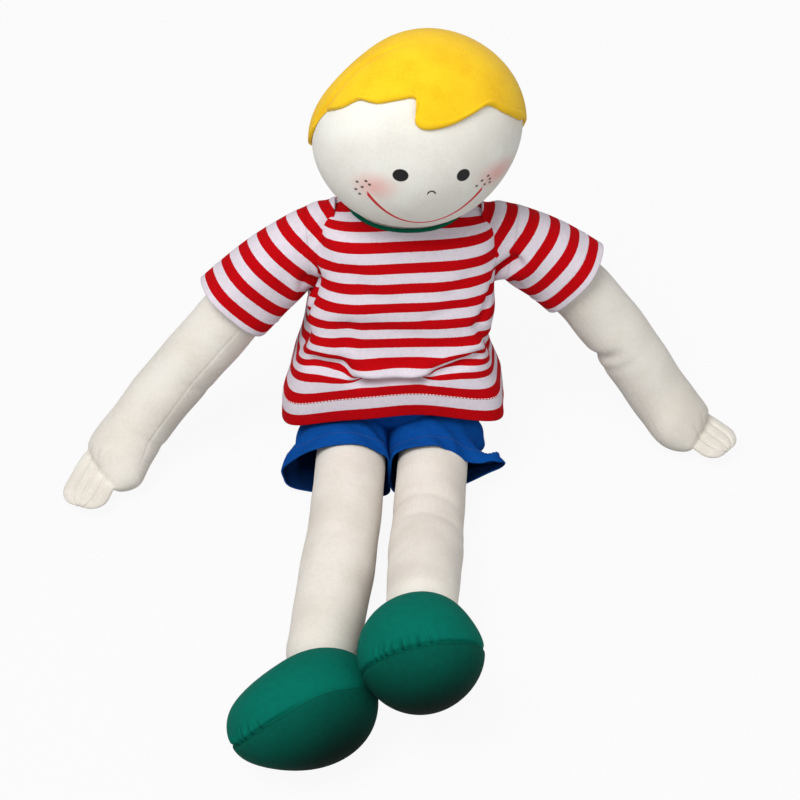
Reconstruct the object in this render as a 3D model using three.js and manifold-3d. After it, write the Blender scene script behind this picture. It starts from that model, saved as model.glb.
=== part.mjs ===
// Rag doll of knitted cotton with felt hair, a striped shirt, shorts and stuffed shoes.
// It sits on the floor with its legs forward and its hands beside it, and faces -Y.
// Millimetres, +Z up. The origin lies on the flat of the seat.
import * as THREE from 'three';
import { mergeVertices } from 'three/addons/utils/BufferGeometryUtils.js';
import Module from 'manifold-3d';

// Fit and cloth
const seamGap = 0.3;
const turningGap = 0.8;
const clothThickness = 1.8;
const hairThickness = 2.2;

// Posture, angles in degrees
const thighRadius = 24.5;
const seatPadding = 4;
const hipHeight = thighRadius + seatPadding;
const torsoRecline = 10;
const torsoLean = 2;
const headYaw = 7;
const hipForward = 8;
const hipSpacing = 58;
const hipMiddle = -3;
const lapAngle = 11;

// Torso, heights above the hip line
const seatDrop = 25;
const seatHalfWidth = 38;
const seatHalfDepth = 24;
const seatBack = 14;
const hipLevel = 12;
const hipHalfWidth = 56;
const hipHalfDepth = 42;
const waistLevel = 68;
const waistHalfWidth = 53;
const waistHalfDepth = 42;
const chestLevel = 118;
const chestHalfWidth = 54;
const chestHalfDepth = 38;
const shoulderLevel = 148;
const shoulderHalfWidth = 52;
const shoulderHalfDepth = 31;
const torsoTop = 169;
const torsoTopHalfWidth = 45;
const torsoTopHalfDepth = 22;
const bodySquareness = 2.4;

// Neck and head
const neckRadius = 17;
const neckLength = 22;
const neckBall = new THREE.Vector3(0.5, -3, 156);
const neckDishRadius = 27;
const neckDishDrop = 7;
const headCentre = new THREE.Vector3(4.4, -14, 231);
const headHalfWidth = 69.5;
const headHalfDepth = 58;
const headHalfHeight = 64.5;

// Hair, measured on the head from its centre: the fringe across and up, the side edge back and up
const fringe = [
  [-64, 26], [-50, 38], [-29, 43], [-18, 44.5], [-11, 47], [-8, 41], [-10, 34],
  [-7, 30], [1, 29], [20, 31.5], [40, 39], [53, 31], [64, 20],
];
const sideEdge = [[-26, 20], [-17, 10], [-12, -3], [6, -17], [32, -24], [100, -26]];
const partingBack = 6;
const partingSlope = 22;

// Arms: a joint in the shoulder, then a stuffed tube to a flat hand
const shoulderJointX = 59;
const shoulderJointLevel = 138;
const gatherRadius = 9;
const armTopHalfWidth = 12;
const upperArmRadius = 22.5;
const elbowRadius = 23;
const forearmHalfWidth = 24.5;
const forearmHalfThickness = 22;
const wristHalfWidth = 22;
const wristHalfThickness = 12.5;
const handHalfWidth = 18;
const handHalfThickness = 9.5;
const handLength = 44;
const fingerRadius = 5.6;
const fingerLength = 20;
const thumbRadius = 7;
const thumbLength = 13;
const thumbAngle = 41;
const thumbRoot = 8;
const thumbInset = 6;
const fingerCount = 4;
const fingerStep = 1.4;
const fingerFlatness = 0.75;
const handDroop = 8;
const rightArmBend = new THREE.Vector3(-110, 8, 119);
const rightWrist = new THREE.Vector3(-201, -40, 19);
const rightHandTurn = -56;
const leftArmBend = new THREE.Vector3(120, 22, 123);
const leftWrist = new THREE.Vector3(199, -1, 19);
const leftHandTurn = -32;

// Legs and shoes
const calfRadius = 25.5;
const ankleRadius = 22.5;
const rightKnee = new THREE.Vector3(-38, -122, 32);
const rightAnkle = new THREE.Vector3(-50, -238, 42);
const leftKnee = new THREE.Vector3(17.5, -118, 33.5);
const leftAnkle = new THREE.Vector3(12.5, -220, 68);
const shoeHalfLength = 51;
const shoeHalfWidth = 40;
const shoeHalfHeight = 37;
const shoeHeelTaper = 0.16;
const shoeHeelDrop = 0.08;
const ankleDepth = 6;
const soleSeamDrop = 5;
const soleSeamRise = 9;
const rightShoe = new THREE.Vector3(-63.5, -282, 39.2);
const rightFootHeading = 55;
const rightFootRise = -3;
const rightFootRoll = 51;
const leftShoe = new THREE.Vector3(14, -258, 68);
const leftFootHeading = -5;
const leftFootRise = 52;
const leftFootRoll = -16;

// Shirt, heights above the hip line
const shirtLapSide = 16;
const shirtLapFront = 10;
const shirtWaistSide = 12.5;
const shirtWaistFront = 10;
const shirtChestSide = 9;
const shirtChestFront = 7.2;
const shirtShoulderSide = 10;
const shirtShoulderFront = 6.3;
const shirtYokeSide = 7.2;
const shirtYokeFront = 2.7;
const shirtHemLevel = 12.5;
const shirtHemTilt = 12;
const shirtHemHalfWidth = 77;
const shirtHemHalfDepth = 54;
const hemSquareness = 3.4;
const hemShift = -5;
const tuckLevel = 44;
const tuckDepth = 3;
const tuckHeight = 9;
const hemWaves = 7;
const hemWaveDepth = 2.2;
const hemWaveReach = 0.6;
const shirtShoulderLevel = 159;
const neckHalfWidth = 45;
const neckHalfDepth = 31;
const necklineFront = 160;
const necklineBack = 168;
const bindingRadius = 2.2;
const rightSleeveLength = 79;
const leftSleeveLength = 64;
const armholeX = 50;
const armholeLevel = 132;
const armholeHalfDepth = 28;
const armholeHalfHeight = 30;
const cuffHalfDepth = 28;
const cuffHalfHeight = 31;

// Shorts
const waistbandLevel = 58;
const waistbandHeight = 14;
const elasticThickness = 1.2;
const elasticHeight = 8;
const shortsEase = 2;
const shortsHemForward = 64;
const shortsRightHem = -82;
const shortsLeftHem = 73;
const shortsHemEase = 6;
const shortsThighEase = 5.5;
const shortsSquareness = 2.3;
const shortsSeam = -7.5;
const seatFlat = 0.5;
const seatPad = 8;

// Colours
const skinColour = 0xe9e2d2;
const hairColour = 0xf3c41c;
const shirtColour = 0xcf1420;
const bindingColour = 0x0b6b50;
const shortsColour = 0x12489a;
const shoeColour = 0x0a6e55;
const soleColour = 0x075545;
const fillingColour = 0xf4f2ee;
const elasticColour = 0xd8d8d8;

// Facets
const torsoRings = 11;
const bodySides = 24;
const hipSides = 20;
const neckSides = 18;
const neckArcSteps = 5;
const ballSides = 12;
const headSides = 28;
const headRows = 16;
const hairSteps = 4;
const armRings = 14;
const armSides = 14;
const fingerSides = 6;
const thumbSides = 8;
const capSteps = 2;
const legRings = 12;
const legSides = 16;
const shoeSides = 16;
const shoeRows = 10;
const seamSteps = 8;
const shirtRows = 11;
const shirtSides = 28;
const bindingSides = 6;
const sleeveSteps = 5;
const sleeveSides = 20;
const seatRings = 10;
const seatSides = 22;
const shortsSteps = 4;
const shortsSides = 18;
const reach = 400;

const wasm = await Module();
wasm.setup();
const radians = THREE.MathUtils.degToRad;
const doll = new THREE.Group();

// Frames: the upper body hangs on the hip line, and the head on the upper body
const upperBody = new THREE.Group();
upperBody.position.set(0, 0, hipHeight);
upperBody.rotation.set(-radians(torsoRecline), radians(torsoLean), 0, 'YXZ');
const headFrame = new THREE.Group();
headFrame.position.copy(headCentre);
headFrame.rotation.z = radians(headYaw);
const neckFrame = new THREE.Group();
neckFrame.position.copy(neckBall);
const neckAxis = headCentre.clone().sub(neckBall);
neckFrame.quaternion.setFromUnitVectors(new THREE.Vector3(0, 0, 1), neckAxis.clone().normalize());
upperBody.add(headFrame, neckFrame);
doll.add(upperBody);
doll.updateMatrixWorld(true);

// Matrix that carries a shape drawn in one frame into another
function between(from, to) {
  return to.matrixWorld.clone().invert().multiply(from.matrixWorld);
}

function toSolid(geometry) {
  const bare = geometry.clone();
  bare.deleteAttribute('normal');
  bare.deleteAttribute('uv');
  const merged = mergeVertices(bare, 1e-4);
  const vertProperties = new Float32Array(merged.attributes.position.array);
  const triVerts = new Uint32Array(merged.index.array);
  let volume = 0;
  const corner = (k) => new THREE.Vector3().fromArray(vertProperties, triVerts[k] * 3);
  for (let k = 0; k < triVerts.length; k += 3) {
    volume += corner(k).dot(corner(k + 1).cross(corner(k + 2)));
  }
  if (volume < 0) {
    triVerts.reverse();
  }
  const mesh = new wasm.Mesh({ numProp: 3, vertProperties, triVerts });
  return new wasm.Manifold(mesh);
}

function addPiece(name, solid, colour, frame = doll, roughness = 0.9) {
  const { vertProperties, triVerts } = solid.getMesh();
  const geometry = new THREE.BufferGeometry();
  geometry.setAttribute('position', new THREE.BufferAttribute(vertProperties, 3));
  geometry.setIndex(new THREE.BufferAttribute(triVerts, 1));
  geometry.computeVertexNormals();
  const material = new THREE.MeshStandardMaterial({ color: colour, roughness, metalness: 0 });
  const mesh = new THREE.Mesh(geometry, material);
  mesh.name = name;
  frame.add(mesh);
}

// Closed surface over a row of rings; the ends close on a point, or the row closes on itself
function skinOver(rings, looped = false) {
  const sides = rings[0].length;
  const points = rings.flat();
  const index = [];
  const last = looped ? rings.length : rings.length - 1;
  for (let r = 0; r < last; r += 1) {
    const next = (r + 1) % rings.length;
    for (let s = 0; s < sides; s += 1) {
      const t = (s + 1) % sides;
      index.push(r * sides + s, r * sides + t, next * sides + t);
      index.push(r * sides + s, next * sides + t, next * sides + s);
    }
  }
  if (!looped) {
    for (const r of [0, rings.length - 1]) {
      const middle = new THREE.Vector3();
      rings[r].forEach((p) => middle.addScaledVector(p, 1 / sides));
      points.push(middle);
      for (let s = 0; s < sides; s += 1) {
        const edge = [r * sides + s, r * sides + ((s + 1) % sides)];
        index.push(points.length - 1, ...(r === 0 ? edge.reverse() : edge));
      }
    }
  }
  const geometry = new THREE.BufferGeometry().setFromPoints(points);
  geometry.setIndex(index);
  return geometry;
}

// Oval ring round a centre; squareness 2 is an ellipse and more is boxier
function oval(centre, across, along, halfAcross, halfAlong, sides, squareness = 2) {
  const soften = (c) => Math.sign(c) * Math.abs(c) ** (2 / squareness);
  return Array.from({ length: sides }, (_, k) => {
    const angle = (k / sides) * 2 * Math.PI;
    return centre.clone()
      .addScaledVector(across, halfAcross * soften(Math.cos(angle)))
      .addScaledVector(along, halfAlong * soften(Math.sin(angle)));
  });
}

// Smooth curve through stations of three numbers, read at a share of the way
function smooth(stations) {
  const curve = new THREE.CatmullRomCurve3(stations.map((s) => new THREE.Vector3(...s)));
  return (share) => curve.getPoint(share);
}

const xAxis = new THREE.Vector3(1, 0, 0);
const yAxis = new THREE.Vector3(0, 1, 0);
const zAxis = new THREE.Vector3(0, 0, 1);

// Upright stuffed body of oval rings from stations of half width, half depth and height
function uprightRings(stations, count, sides, grow, shift) {
  const at = smooth(stations);
  return Array.from({ length: count }, (_, k) => {
    const { x, y, z } = at(k / (count - 1));
    return oval(new THREE.Vector3(0, shift(z), z), xAxis, yAxis, x + grow, y + grow, sides, bodySquareness);
  });
}

// Stuffed tube along a curve, rounded at both ends; sizes are half the width and half the height
function stuffedTube(path, sizes, count, sides, roundStart, roundEnd) {
  const length = path.getLength();
  const at = smooth(sizes.map((s, k) => [s[0], s[1], k]));
  const rings = [];
  for (let k = 0; k < count; k += 1) {
    const share = 0.5 - 0.5 * Math.cos((Math.PI * (k + 0.35)) / (count - 0.3));
    const along = share * length;
    const near = Math.max(0, 1 - along / roundStart);
    const far = Math.max(0, 1 - (length - along) / roundEnd);
    const swell = Math.sqrt(1 - near * near) * Math.sqrt(1 - far * far);
    const tangent = path.getTangentAt(share);
    const across = new THREE.Vector3().crossVectors(tangent, zAxis).normalize();
    const upright = new THREE.Vector3().crossVectors(across, tangent);
    const size = at(share);
    rings.push(oval(path.getPointAt(share), across, upright, size.x * swell, size.y * swell, sides));
  }
  return skinOver(rings);
}

function sphereAt(centre, radius, sides = ballSides) {
  return new THREE.SphereGeometry(radius, sides, Math.ceil(sides / 2)).translate(centre.x, centre.y, centre.z);
}

function boxBetween(low, high) {
  const size = high.clone().sub(low);
  const middle = high.clone().add(low).multiplyScalar(0.5);
  return new THREE.BoxGeometry(size.x, size.y, size.z).translate(middle.x, middle.y, middle.z);
}

const toUpperBody = between(doll, upperBody);
const toWorld = between(upperBody, doll);
const hips = {
  right: new THREE.Vector3(hipMiddle - hipSpacing / 2, -hipForward, hipHeight),
  left: new THREE.Vector3(hipMiddle + hipSpacing / 2, -hipForward, hipHeight),
};
const shoulders = {
  right: new THREE.Vector3(-shoulderJointX, 0, shoulderJointLevel),
  left: new THREE.Vector3(shoulderJointX, 0, shoulderJointLevel),
};

// Torso: a pear of stuffing, hollowed for the thighs, the neck and the gathered arm tops
const torsoStations = [
  [seatHalfWidth, seatHalfDepth, -seatDrop],
  [hipHalfWidth, hipHalfDepth, hipLevel],
  [waistHalfWidth, waistHalfDepth, waistLevel],
  [chestHalfWidth, chestHalfDepth, chestLevel],
  [shoulderHalfWidth, shoulderHalfDepth, shoulderLevel],
  [torsoTopHalfWidth, torsoTopHalfDepth, torsoTop],
];
const seatShift = (z) => seatBack * THREE.MathUtils.clamp((hipLevel - z) / (hipLevel + seatDrop), 0, 1);

function torsoForm(grow) {
  return skinOver(uprightRings(torsoStations, torsoRings, bodySides, grow, seatShift));
}

// Room that the thighs turn in: round at the hip, open below it and in the crease of the lap
function thighSpace() {
  const clear = thighRadius + turningGap;
  const round = new THREE.CylinderGeometry(clear, clear, reach, hipSides).rotateZ(Math.PI / 2);
  const corner = new THREE.Vector3(-reach / 2, -reach, -reach);
  const below = boxBetween(corner, new THREE.Vector3(reach / 2, clear, 0));
  const lap = boxBetween(corner, new THREE.Vector3(reach / 2, 0, clear));
  lap.rotateX(-radians(lapAngle));
  const room = [round, below, lap].map((shape) => toSolid(shape.translate(0, -hipForward, hipHeight)));
  return room[0].add(room[1]).add(room[2]);
}

function belowFloor(level) {
  const low = new THREE.Vector3(-reach, -reach, level - reach);
  return toSolid(boxBetween(low, new THREE.Vector3(reach, reach, level)));
}

function makeTorso() {
  const inShirt = toSolid(skinOver(shirtForm(-clothThickness - seamGap)).applyMatrix4(toWorld));
  let torso = toSolid(torsoForm(0).applyMatrix4(toWorld)).intersect(inShirt);
  torso = torso.subtract(thighSpace()).subtract(belowFloor(clothThickness + seamGap));
  const dish = new THREE.CylinderGeometry(neckDishRadius, neckDishRadius, reach, bodySides);
  dish.rotateX(Math.PI / 2).translate(neckBall.x, neckBall.y, neckBall.z - neckDishDrop + reach / 2);
  torso = torso.subtract(toSolid(dish.applyMatrix4(toWorld)));
  const neckSeat = sphereAt(neckBall, neckRadius + turningGap, neckSides).applyMatrix4(toWorld);
  torso = torso.subtract(toSolid(neckSeat));
  for (const side of ['right', 'left']) {
    const socket = sphereAt(shoulders[side], gatherRadius + turningGap).applyMatrix4(toWorld);
    torso = torso.subtract(toSolid(socket));
  }
  addPiece('torso', torso, skinColour);
}

// Neck: a stuffed stump with a ball end in the torso and a straight end in the head
function neckProfile(grow) {
  const radius = neckRadius + grow;
  const points = [new THREE.Vector2(0, -radius)];
  for (let k = 1; k <= neckArcSteps; k += 1) {
    const angle = (k / neckArcSteps) * (Math.PI / 2);
    points.push(new THREE.Vector2(radius * Math.sin(angle), -radius * Math.cos(angle)));
  }
  points.push(new THREE.Vector2(radius, neckLength + grow), new THREE.Vector2(0, neckLength + grow));
  return new THREE.LatheGeometry(points, neckSides).rotateX(Math.PI / 2);
}

function headForm(grow) {
  const head = new THREE.SphereGeometry(1, headSides, headRows).rotateX(Math.PI / 2);
  return head.scale(headHalfWidth + grow, headHalfDepth + grow, headHalfHeight + grow);
}

function makeHead() {
  addPiece('neck', toSolid(neckProfile(0)), skinColour, neckFrame);
  const socket = neckProfile(seamGap).applyMatrix4(between(neckFrame, headFrame));
  addPiece('head', toSolid(headForm(0)).subtract(toSolid(socket)), skinColour, headFrame);
}

// Hair: a felt cap in two panels, with a notched fringe that sweeps to one side
// Block that holds all above a line of points, drawn through the whole head
function aboveLine(line) {
  const points = line.map(([x, y]) => new THREE.Vector2(x, y));
  const [first, last] = [points[0], points.at(-1)];
  const outline = new THREE.Shape();
  outline.moveTo(-reach, first.y);
  outline.lineTo(first.x, first.y);
  outline.splineThru(points.slice(1));
  outline.lineTo(reach, last.y);
  outline.lineTo(reach, reach);
  outline.lineTo(-reach, reach);
  outline.closePath();
  return new THREE.ExtrudeGeometry(outline, { depth: reach, bevelEnabled: false, curveSegments: hairSteps });
}

function makeHair() {
  const cap = toSolid(headForm(hairThickness + seamGap)).subtract(toSolid(headForm(seamGap)));
  const crown = new THREE.Vector3(0, -partingBack, headHalfHeight);
  const half = new THREE.BoxGeometry(reach, reach, reach);
  const slope = radians(partingSlope);
  const ahead = half.clone().translate(0, -reach / 2 - seamGap / 2, 0).rotateX(-slope);
  const behind = half.clone().translate(0, reach / 2 + seamGap / 2, 0).rotateX(-slope);
  ahead.translate(crown.x, crown.y, crown.z);
  behind.translate(crown.x, crown.y, crown.z);
  const fringeBlock = aboveLine(fringe).rotateX(Math.PI / 2);
  const front = cap.intersect(toSolid(ahead)).intersect(toSolid(fringeBlock));
  addPiece('hair_front', front, hairColour, headFrame);
  const sides = aboveLine(sideEdge).translate(0, 0, -reach / 2).rotateX(Math.PI / 2).rotateZ(Math.PI / 2);
  const back = cap.intersect(toSolid(behind)).intersect(toSolid(sides));
  addPiece('hair_back', back, hairColour, headFrame);
}

// Arms: the gathered top sits on a ball of cloth in the shoulder; the hand is sewn flat
function armPath(side, bend, wrist, handTurn, sleeveLength) {
  const joint = shoulders[side].clone().applyMatrix4(toWorld);
  const outward = side === 'right' ? -1 : 1;
  const turn = radians(handTurn);
  const droop = -Math.tan(radians(handDroop));
  const hand = new THREE.Vector3(outward * Math.cos(turn), Math.sin(turn), droop).normalize();
  const tip = wrist.clone().addScaledVector(hand, handLength - fingerRadius);
  const path = new THREE.CatmullRomCurve3([joint, bend, wrist, tip], false, 'centripetal');
  return { joint, hand, tip, wrist, path, outward, sleeveLength };
}

function addFingers(arm, { hand, tip, wrist, outward }) {
  const across = new THREE.Vector3().crossVectors(hand, zAxis).normalize();
  const pitch = (2 * (handHalfWidth - fingerRadius)) / (fingerCount - 1);
  let solid = arm;
  for (let k = 0; k < fingerCount; k += 1) {
    const place = k - (fingerCount - 1) / 2;
    const finger = new THREE.CapsuleGeometry(fingerRadius, fingerLength, capSteps, fingerSides);
    finger.scale(1, 1, (handHalfThickness / fingerRadius) * fingerFlatness);
    finger.applyMatrix4(new THREE.Matrix4().makeBasis(across, hand, zAxis));
    const centre = tip.clone().addScaledVector(across, place * pitch);
    centre.addScaledVector(hand, -fingerLength / 2 - fingerStep * place ** 2);
    finger.translate(centre.x, centre.y, centre.z);
    solid = solid.add(toSolid(finger));
  }
  const inner = across.clone().multiplyScalar(outward);
  const thumbWay = hand.clone().multiplyScalar(Math.cos(radians(thumbAngle)));
  thumbWay.addScaledVector(inner, Math.sin(radians(thumbAngle)));
  const thumb = new THREE.CapsuleGeometry(thumbRadius, thumbLength, capSteps, thumbSides);
  const thumbSide = new THREE.Vector3().crossVectors(thumbWay, zAxis).normalize();
  thumb.applyMatrix4(new THREE.Matrix4().makeBasis(thumbSide, thumbWay, zAxis));
  const root = wrist.clone().addScaledVector(hand, thumbRoot);
  root.addScaledVector(inner, wristHalfWidth - thumbInset);
  thumb.translate(root.x, root.y, root.z);
  return solid.add(toSolid(thumb));
}

// Sleeve: from an upright armhole inside the shirt to a cuff square to the arm
function sleeveForm({ path, joint, outward, sleeveLength }, grow, beyond) {
  const armhole = new THREE.Vector3(outward * armholeX, 0, armholeLevel).applyMatrix4(toWorld);
  const share = (sleeveLength + beyond) / path.getLength();
  const tangent = path.getTangentAt(share);
  const cuffAcross = new THREE.Vector3().crossVectors(tangent, zAxis).normalize();
  const cuffUp = new THREE.Vector3().crossVectors(cuffAcross, tangent);
  const holeAcross = yAxis.clone().multiplyScalar(-outward).transformDirection(toWorld);
  const holeUp = zAxis.clone().transformDirection(toWorld);
  const rings = [];
  for (let k = 0; k <= sleeveSteps; k += 1) {
    const way = k / sleeveSteps;
    const turn = THREE.MathUtils.smoothstep(way, 0, 1);
    const across = holeAcross.clone().lerp(cuffAcross, turn).normalize();
    const up = holeUp.clone().lerp(cuffUp, turn).normalize();
    const halfDepth = THREE.MathUtils.lerp(armholeHalfDepth, cuffHalfDepth, way) + grow;
    const halfHeight = THREE.MathUtils.lerp(armholeHalfHeight, cuffHalfHeight, way) + grow;
    const centre = path.getPointAt(share * way).addScaledVector(armhole.clone().sub(joint), 1 - way);
    rings.push(oval(centre, across, up, halfDepth, halfHeight, sleeveSides));
  }
  return skinOver(rings);
}

function makeArm(side, plan) {
  const sizes = [
    [armTopHalfWidth, armTopHalfWidth],
    [upperArmRadius, upperArmRadius],
    [elbowRadius, elbowRadius],
    [forearmHalfWidth, forearmHalfThickness],
    [wristHalfWidth, wristHalfThickness],
    [handHalfWidth, handHalfThickness],
  ];
  let arm = toSolid(stuffedTube(plan.path, sizes, armRings, armSides, armTopHalfWidth, handHalfThickness));
  arm = addFingers(arm, plan);
  arm = arm.subtract(toSolid(sphereAt(plan.joint, gatherRadius + turningGap)));
  arm = arm.subtract(belowFloor(0));
  addPiece(`arm_${side}`, arm, skinColour);
  addPiece(`shoulder_gather_${side}`, toSolid(sphereAt(plan.joint, gatherRadius)), skinColour);
}

// Legs: stuffed tubes from the hip to the shoe
function legForm(side, knee, ankle, grow) {
  const hip = hips[side];
  const start = hip.clone().addScaledVector(knee.clone().sub(hip).normalize(), -thighRadius - grow);
  const end = ankle.clone().addScaledVector(ankle.clone().sub(knee).normalize(), ankleDepth + grow);
  const path = new THREE.CatmullRomCurve3([start, hip, knee, ankle, end], false, 'centripetal');
  const sizes = [thighRadius, thighRadius, calfRadius, ankleRadius].map((r) => [r + grow, r + grow]);
  return toSolid(stuffedTube(path, sizes, legRings, legSides, thighRadius + grow, ankleDepth + grow));
}

// Shoes: a bean of filling in an upper and a sole that meet at a rising seam
function shoeForm(shrink) {
  const bean = new THREE.SphereGeometry(1, shoeSides, shoeRows).rotateX(Math.PI / 2);
  bean.scale(shoeHalfWidth - shrink, shoeHalfLength - shrink, shoeHalfHeight - shrink);
  const position = bean.attributes.position;
  for (let k = 0; k < position.count; k += 1) {
    const back = position.getY(k) / shoeHalfLength;
    position.setX(k, position.getX(k) * (1 - shoeHeelTaper * back));
    position.setZ(k, position.getZ(k) * (1 - shoeHeelDrop * back));
  }
  return bean;
}

function soleSide(offset) {
  const outline = new THREE.Shape();
  const far = 2 * shoeHalfLength;
  outline.moveTo(-far, -soleSeamDrop + soleSeamRise + offset);
  outline.quadraticCurveTo(0, -2 * soleSeamDrop + offset, far, -soleSeamDrop + soleSeamRise + offset);
  outline.lineTo(far, -far);
  outline.lineTo(-far, -far);
  outline.closePath();
  const options = { depth: 2 * far, bevelEnabled: false, curveSegments: seamSteps };
  const block = new THREE.ExtrudeGeometry(outline, options);
  return toSolid(block.translate(0, 0, -far).rotateX(Math.PI / 2).rotateZ(Math.PI / 2));
}

// Foot frame: -Y to the toe, -Z out of the sole; turned out, raised at the toe and rolled in degrees
function footFrameAt(side, centre, heading, rise, roll) {
  const outward = side === 'right' ? -1 : 1;
  const frame = new THREE.Group();
  frame.position.copy(centre);
  frame.rotation.set(-radians(rise), outward * radians(roll), outward * radians(heading), 'ZXY');
  doll.add(frame);
  frame.updateMatrixWorld(true);
  return frame;
}

function makeShoe(side, frame, legSpace) {
  const legHole = legSpace.transform(between(doll, frame).elements);
  const filling = toSolid(shoeForm(clothThickness + seamGap)).subtract(legHole);
  const shell = toSolid(shoeForm(0)).subtract(toSolid(shoeForm(clothThickness))).subtract(legHole);
  addPiece(`foot_filling_${side}`, filling, fillingColour, frame);
  addPiece(`shoe_upper_${side}`, shell.subtract(soleSide(seamGap / 2)), shoeColour, frame);
  addPiece(`shoe_sole_${side}`, shell.intersect(soleSide(-seamGap / 2)), soleColour, frame);
}

// Shirt: a loose tube, square at the hem, pinched where it folds on the lap
function shirtRing(z, halfWidth, halfDepth, grow) {
  const rise = THREE.MathUtils.clamp((z - shirtHemLevel) / (chestLevel - shirtHemLevel), 0, 1);
  const loose = Math.max(0, 1 - rise / hemWaveReach);
  const pinch = tuckDepth * Math.exp(-(((z - tuckLevel) / tuckHeight) ** 2));
  const high = THREE.MathUtils.smoothstep(z, shoulderLevel, necklineBack);
  const squareness = THREE.MathUtils.lerp(hemSquareness, bodySquareness, rise);
  return oval(new THREE.Vector3(), xAxis, yAxis, 1, 1, shirtSides, squareness).map((p) => {
    const front = Math.max(0, -p.y);
    const wave = hemWaveDepth * loose * Math.cos(hemWaves * Math.atan2(p.y, p.x));
    const spread = grow + wave - pinch * front ** 2;
    const x = p.x * (halfWidth + spread) + hemShift * (1 - rise);
    const drop = (necklineBack - necklineFront) * high * front ** 2;
    return new THREE.Vector3(x, p.y * (halfDepth + spread), z - shirtHemTilt * (1 - rise) * p.y - drop);
  });
}

function shirtForm(grow) {
  const stations = [
    [shirtHemHalfWidth, shirtHemHalfDepth, shirtHemLevel],
    [waistHalfWidth + shirtLapSide, waistHalfDepth + shirtLapFront, tuckLevel],
    [waistHalfWidth + shirtWaistSide, waistHalfDepth + shirtWaistFront, waistLevel],
    [chestHalfWidth + shirtChestSide, chestHalfDepth + shirtChestFront, chestLevel],
    [shoulderHalfWidth + shirtShoulderSide, shoulderHalfDepth + shirtShoulderFront, shoulderLevel],
    [shoulderHalfWidth + shirtYokeSide, shoulderHalfDepth + shirtYokeFront, shirtShoulderLevel],
    [neckHalfWidth, neckHalfDepth, necklineBack],
  ];
  const at = smooth(stations);
  return Array.from({ length: shirtRows }, (_, k) => {
    const { x, y, z } = at(k / (shirtRows - 1));
    return shirtRing(z, x, y, grow);
  });
}

function makeShirt(arms) {
  const outer = shirtForm(0);
  const inner = shirtForm(-clothThickness);
  let shell = toSolid(skinOver([...outer, ...inner.reverse()], true));
  for (const arm of arms) {
    shell = shell.subtract(toSolid(sleeveForm(arm, -clothThickness, 0).applyMatrix4(toUpperBody)));
  }
  const low = new THREE.Vector3(-reach, seamGap / 2, -reach);
  const high = new THREE.Vector3(reach, reach, reach);
  const behind = toSolid(boxBetween(low, high));
  const ahead = toSolid(boxBetween(low, high).rotateZ(Math.PI));
  addPiece('shirt_front', shell.intersect(ahead), shirtColour, upperBody);
  addPiece('shirt_back', shell.intersect(behind), shirtColour, upperBody);
  const edge = shirtForm(-clothThickness / 2).pop();
  const rings = edge.map((p, k) => {
    const onward = edge[(k + 1) % edge.length].clone().sub(edge.at(k - 1)).normalize();
    const outward = new THREE.Vector3().crossVectors(onward, zAxis).normalize();
    const centre = p.clone().addScaledVector(zAxis, bindingRadius + seamGap);
    return oval(centre, outward, zAxis, bindingRadius, bindingRadius, bindingSides);
  });
  addPiece('neck_binding', toSolid(skinOver(rings, true)), bindingColour, upperBody);
  return toSolid(skinOver(shirtForm(seamGap))).transform(toWorld.elements);
}

function makeSleeve(side, arm, shirtSpace) {
  const outer = toSolid(sleeveForm(arm, 0, 0));
  const inner = toSolid(sleeveForm(arm, -clothThickness, clothThickness));
  addPiece(`sleeve_${side}`, outer.subtract(inner).subtract(shirtSpace), shirtColour);
}

// Shorts: a wide seat on an elastic waistband, with a flaring tube round each thigh
function seatForm(grow) {
  const stations = [[seatHalfWidth, seatHalfDepth, -seatDrop - seatPad], ...torsoStations];
  const form = skinOver(uprightRings(stations, seatRings, seatSides, shortsEase + grow, seatShift));
  return toSolid(form.applyMatrix4(toWorld));
}

function shortsLeg(side, hemOuter, grow, beyond) {
  const hip = hips[side];
  const start = hip.y + thighRadius + turningGap - grow;
  const hemInner = shortsSeam + Math.sign(hemOuter) * (seamGap / 2);
  const hemMiddle = (hemInner + hemOuter) / 2;
  const hemHalfWidth = Math.abs(hemOuter - hemInner) / 2;
  const rings = [];
  for (let k = 0; k <= shortsSteps; k += 1) {
    const share = k / shortsSteps;
    const x = THREE.MathUtils.lerp(hip.x, hemMiddle, share);
    const y = THREE.MathUtils.lerp(start, -shortsHemForward - beyond, share);
    const halfWidth = THREE.MathUtils.lerp(thighRadius + shortsThighEase, hemHalfWidth, share);
    const halfHeight = THREE.MathUtils.lerp(hipHeight, thighRadius + shortsHemEase, share);
    const centre = new THREE.Vector3(x, y, halfHeight - seatFlat);
    const [half, tall] = [halfWidth + grow, halfHeight + grow];
    rings.push(oval(centre, xAxis, zAxis, half, tall, shortsSides, shortsSquareness));
  }
  return skinOver(rings);
}

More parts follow.
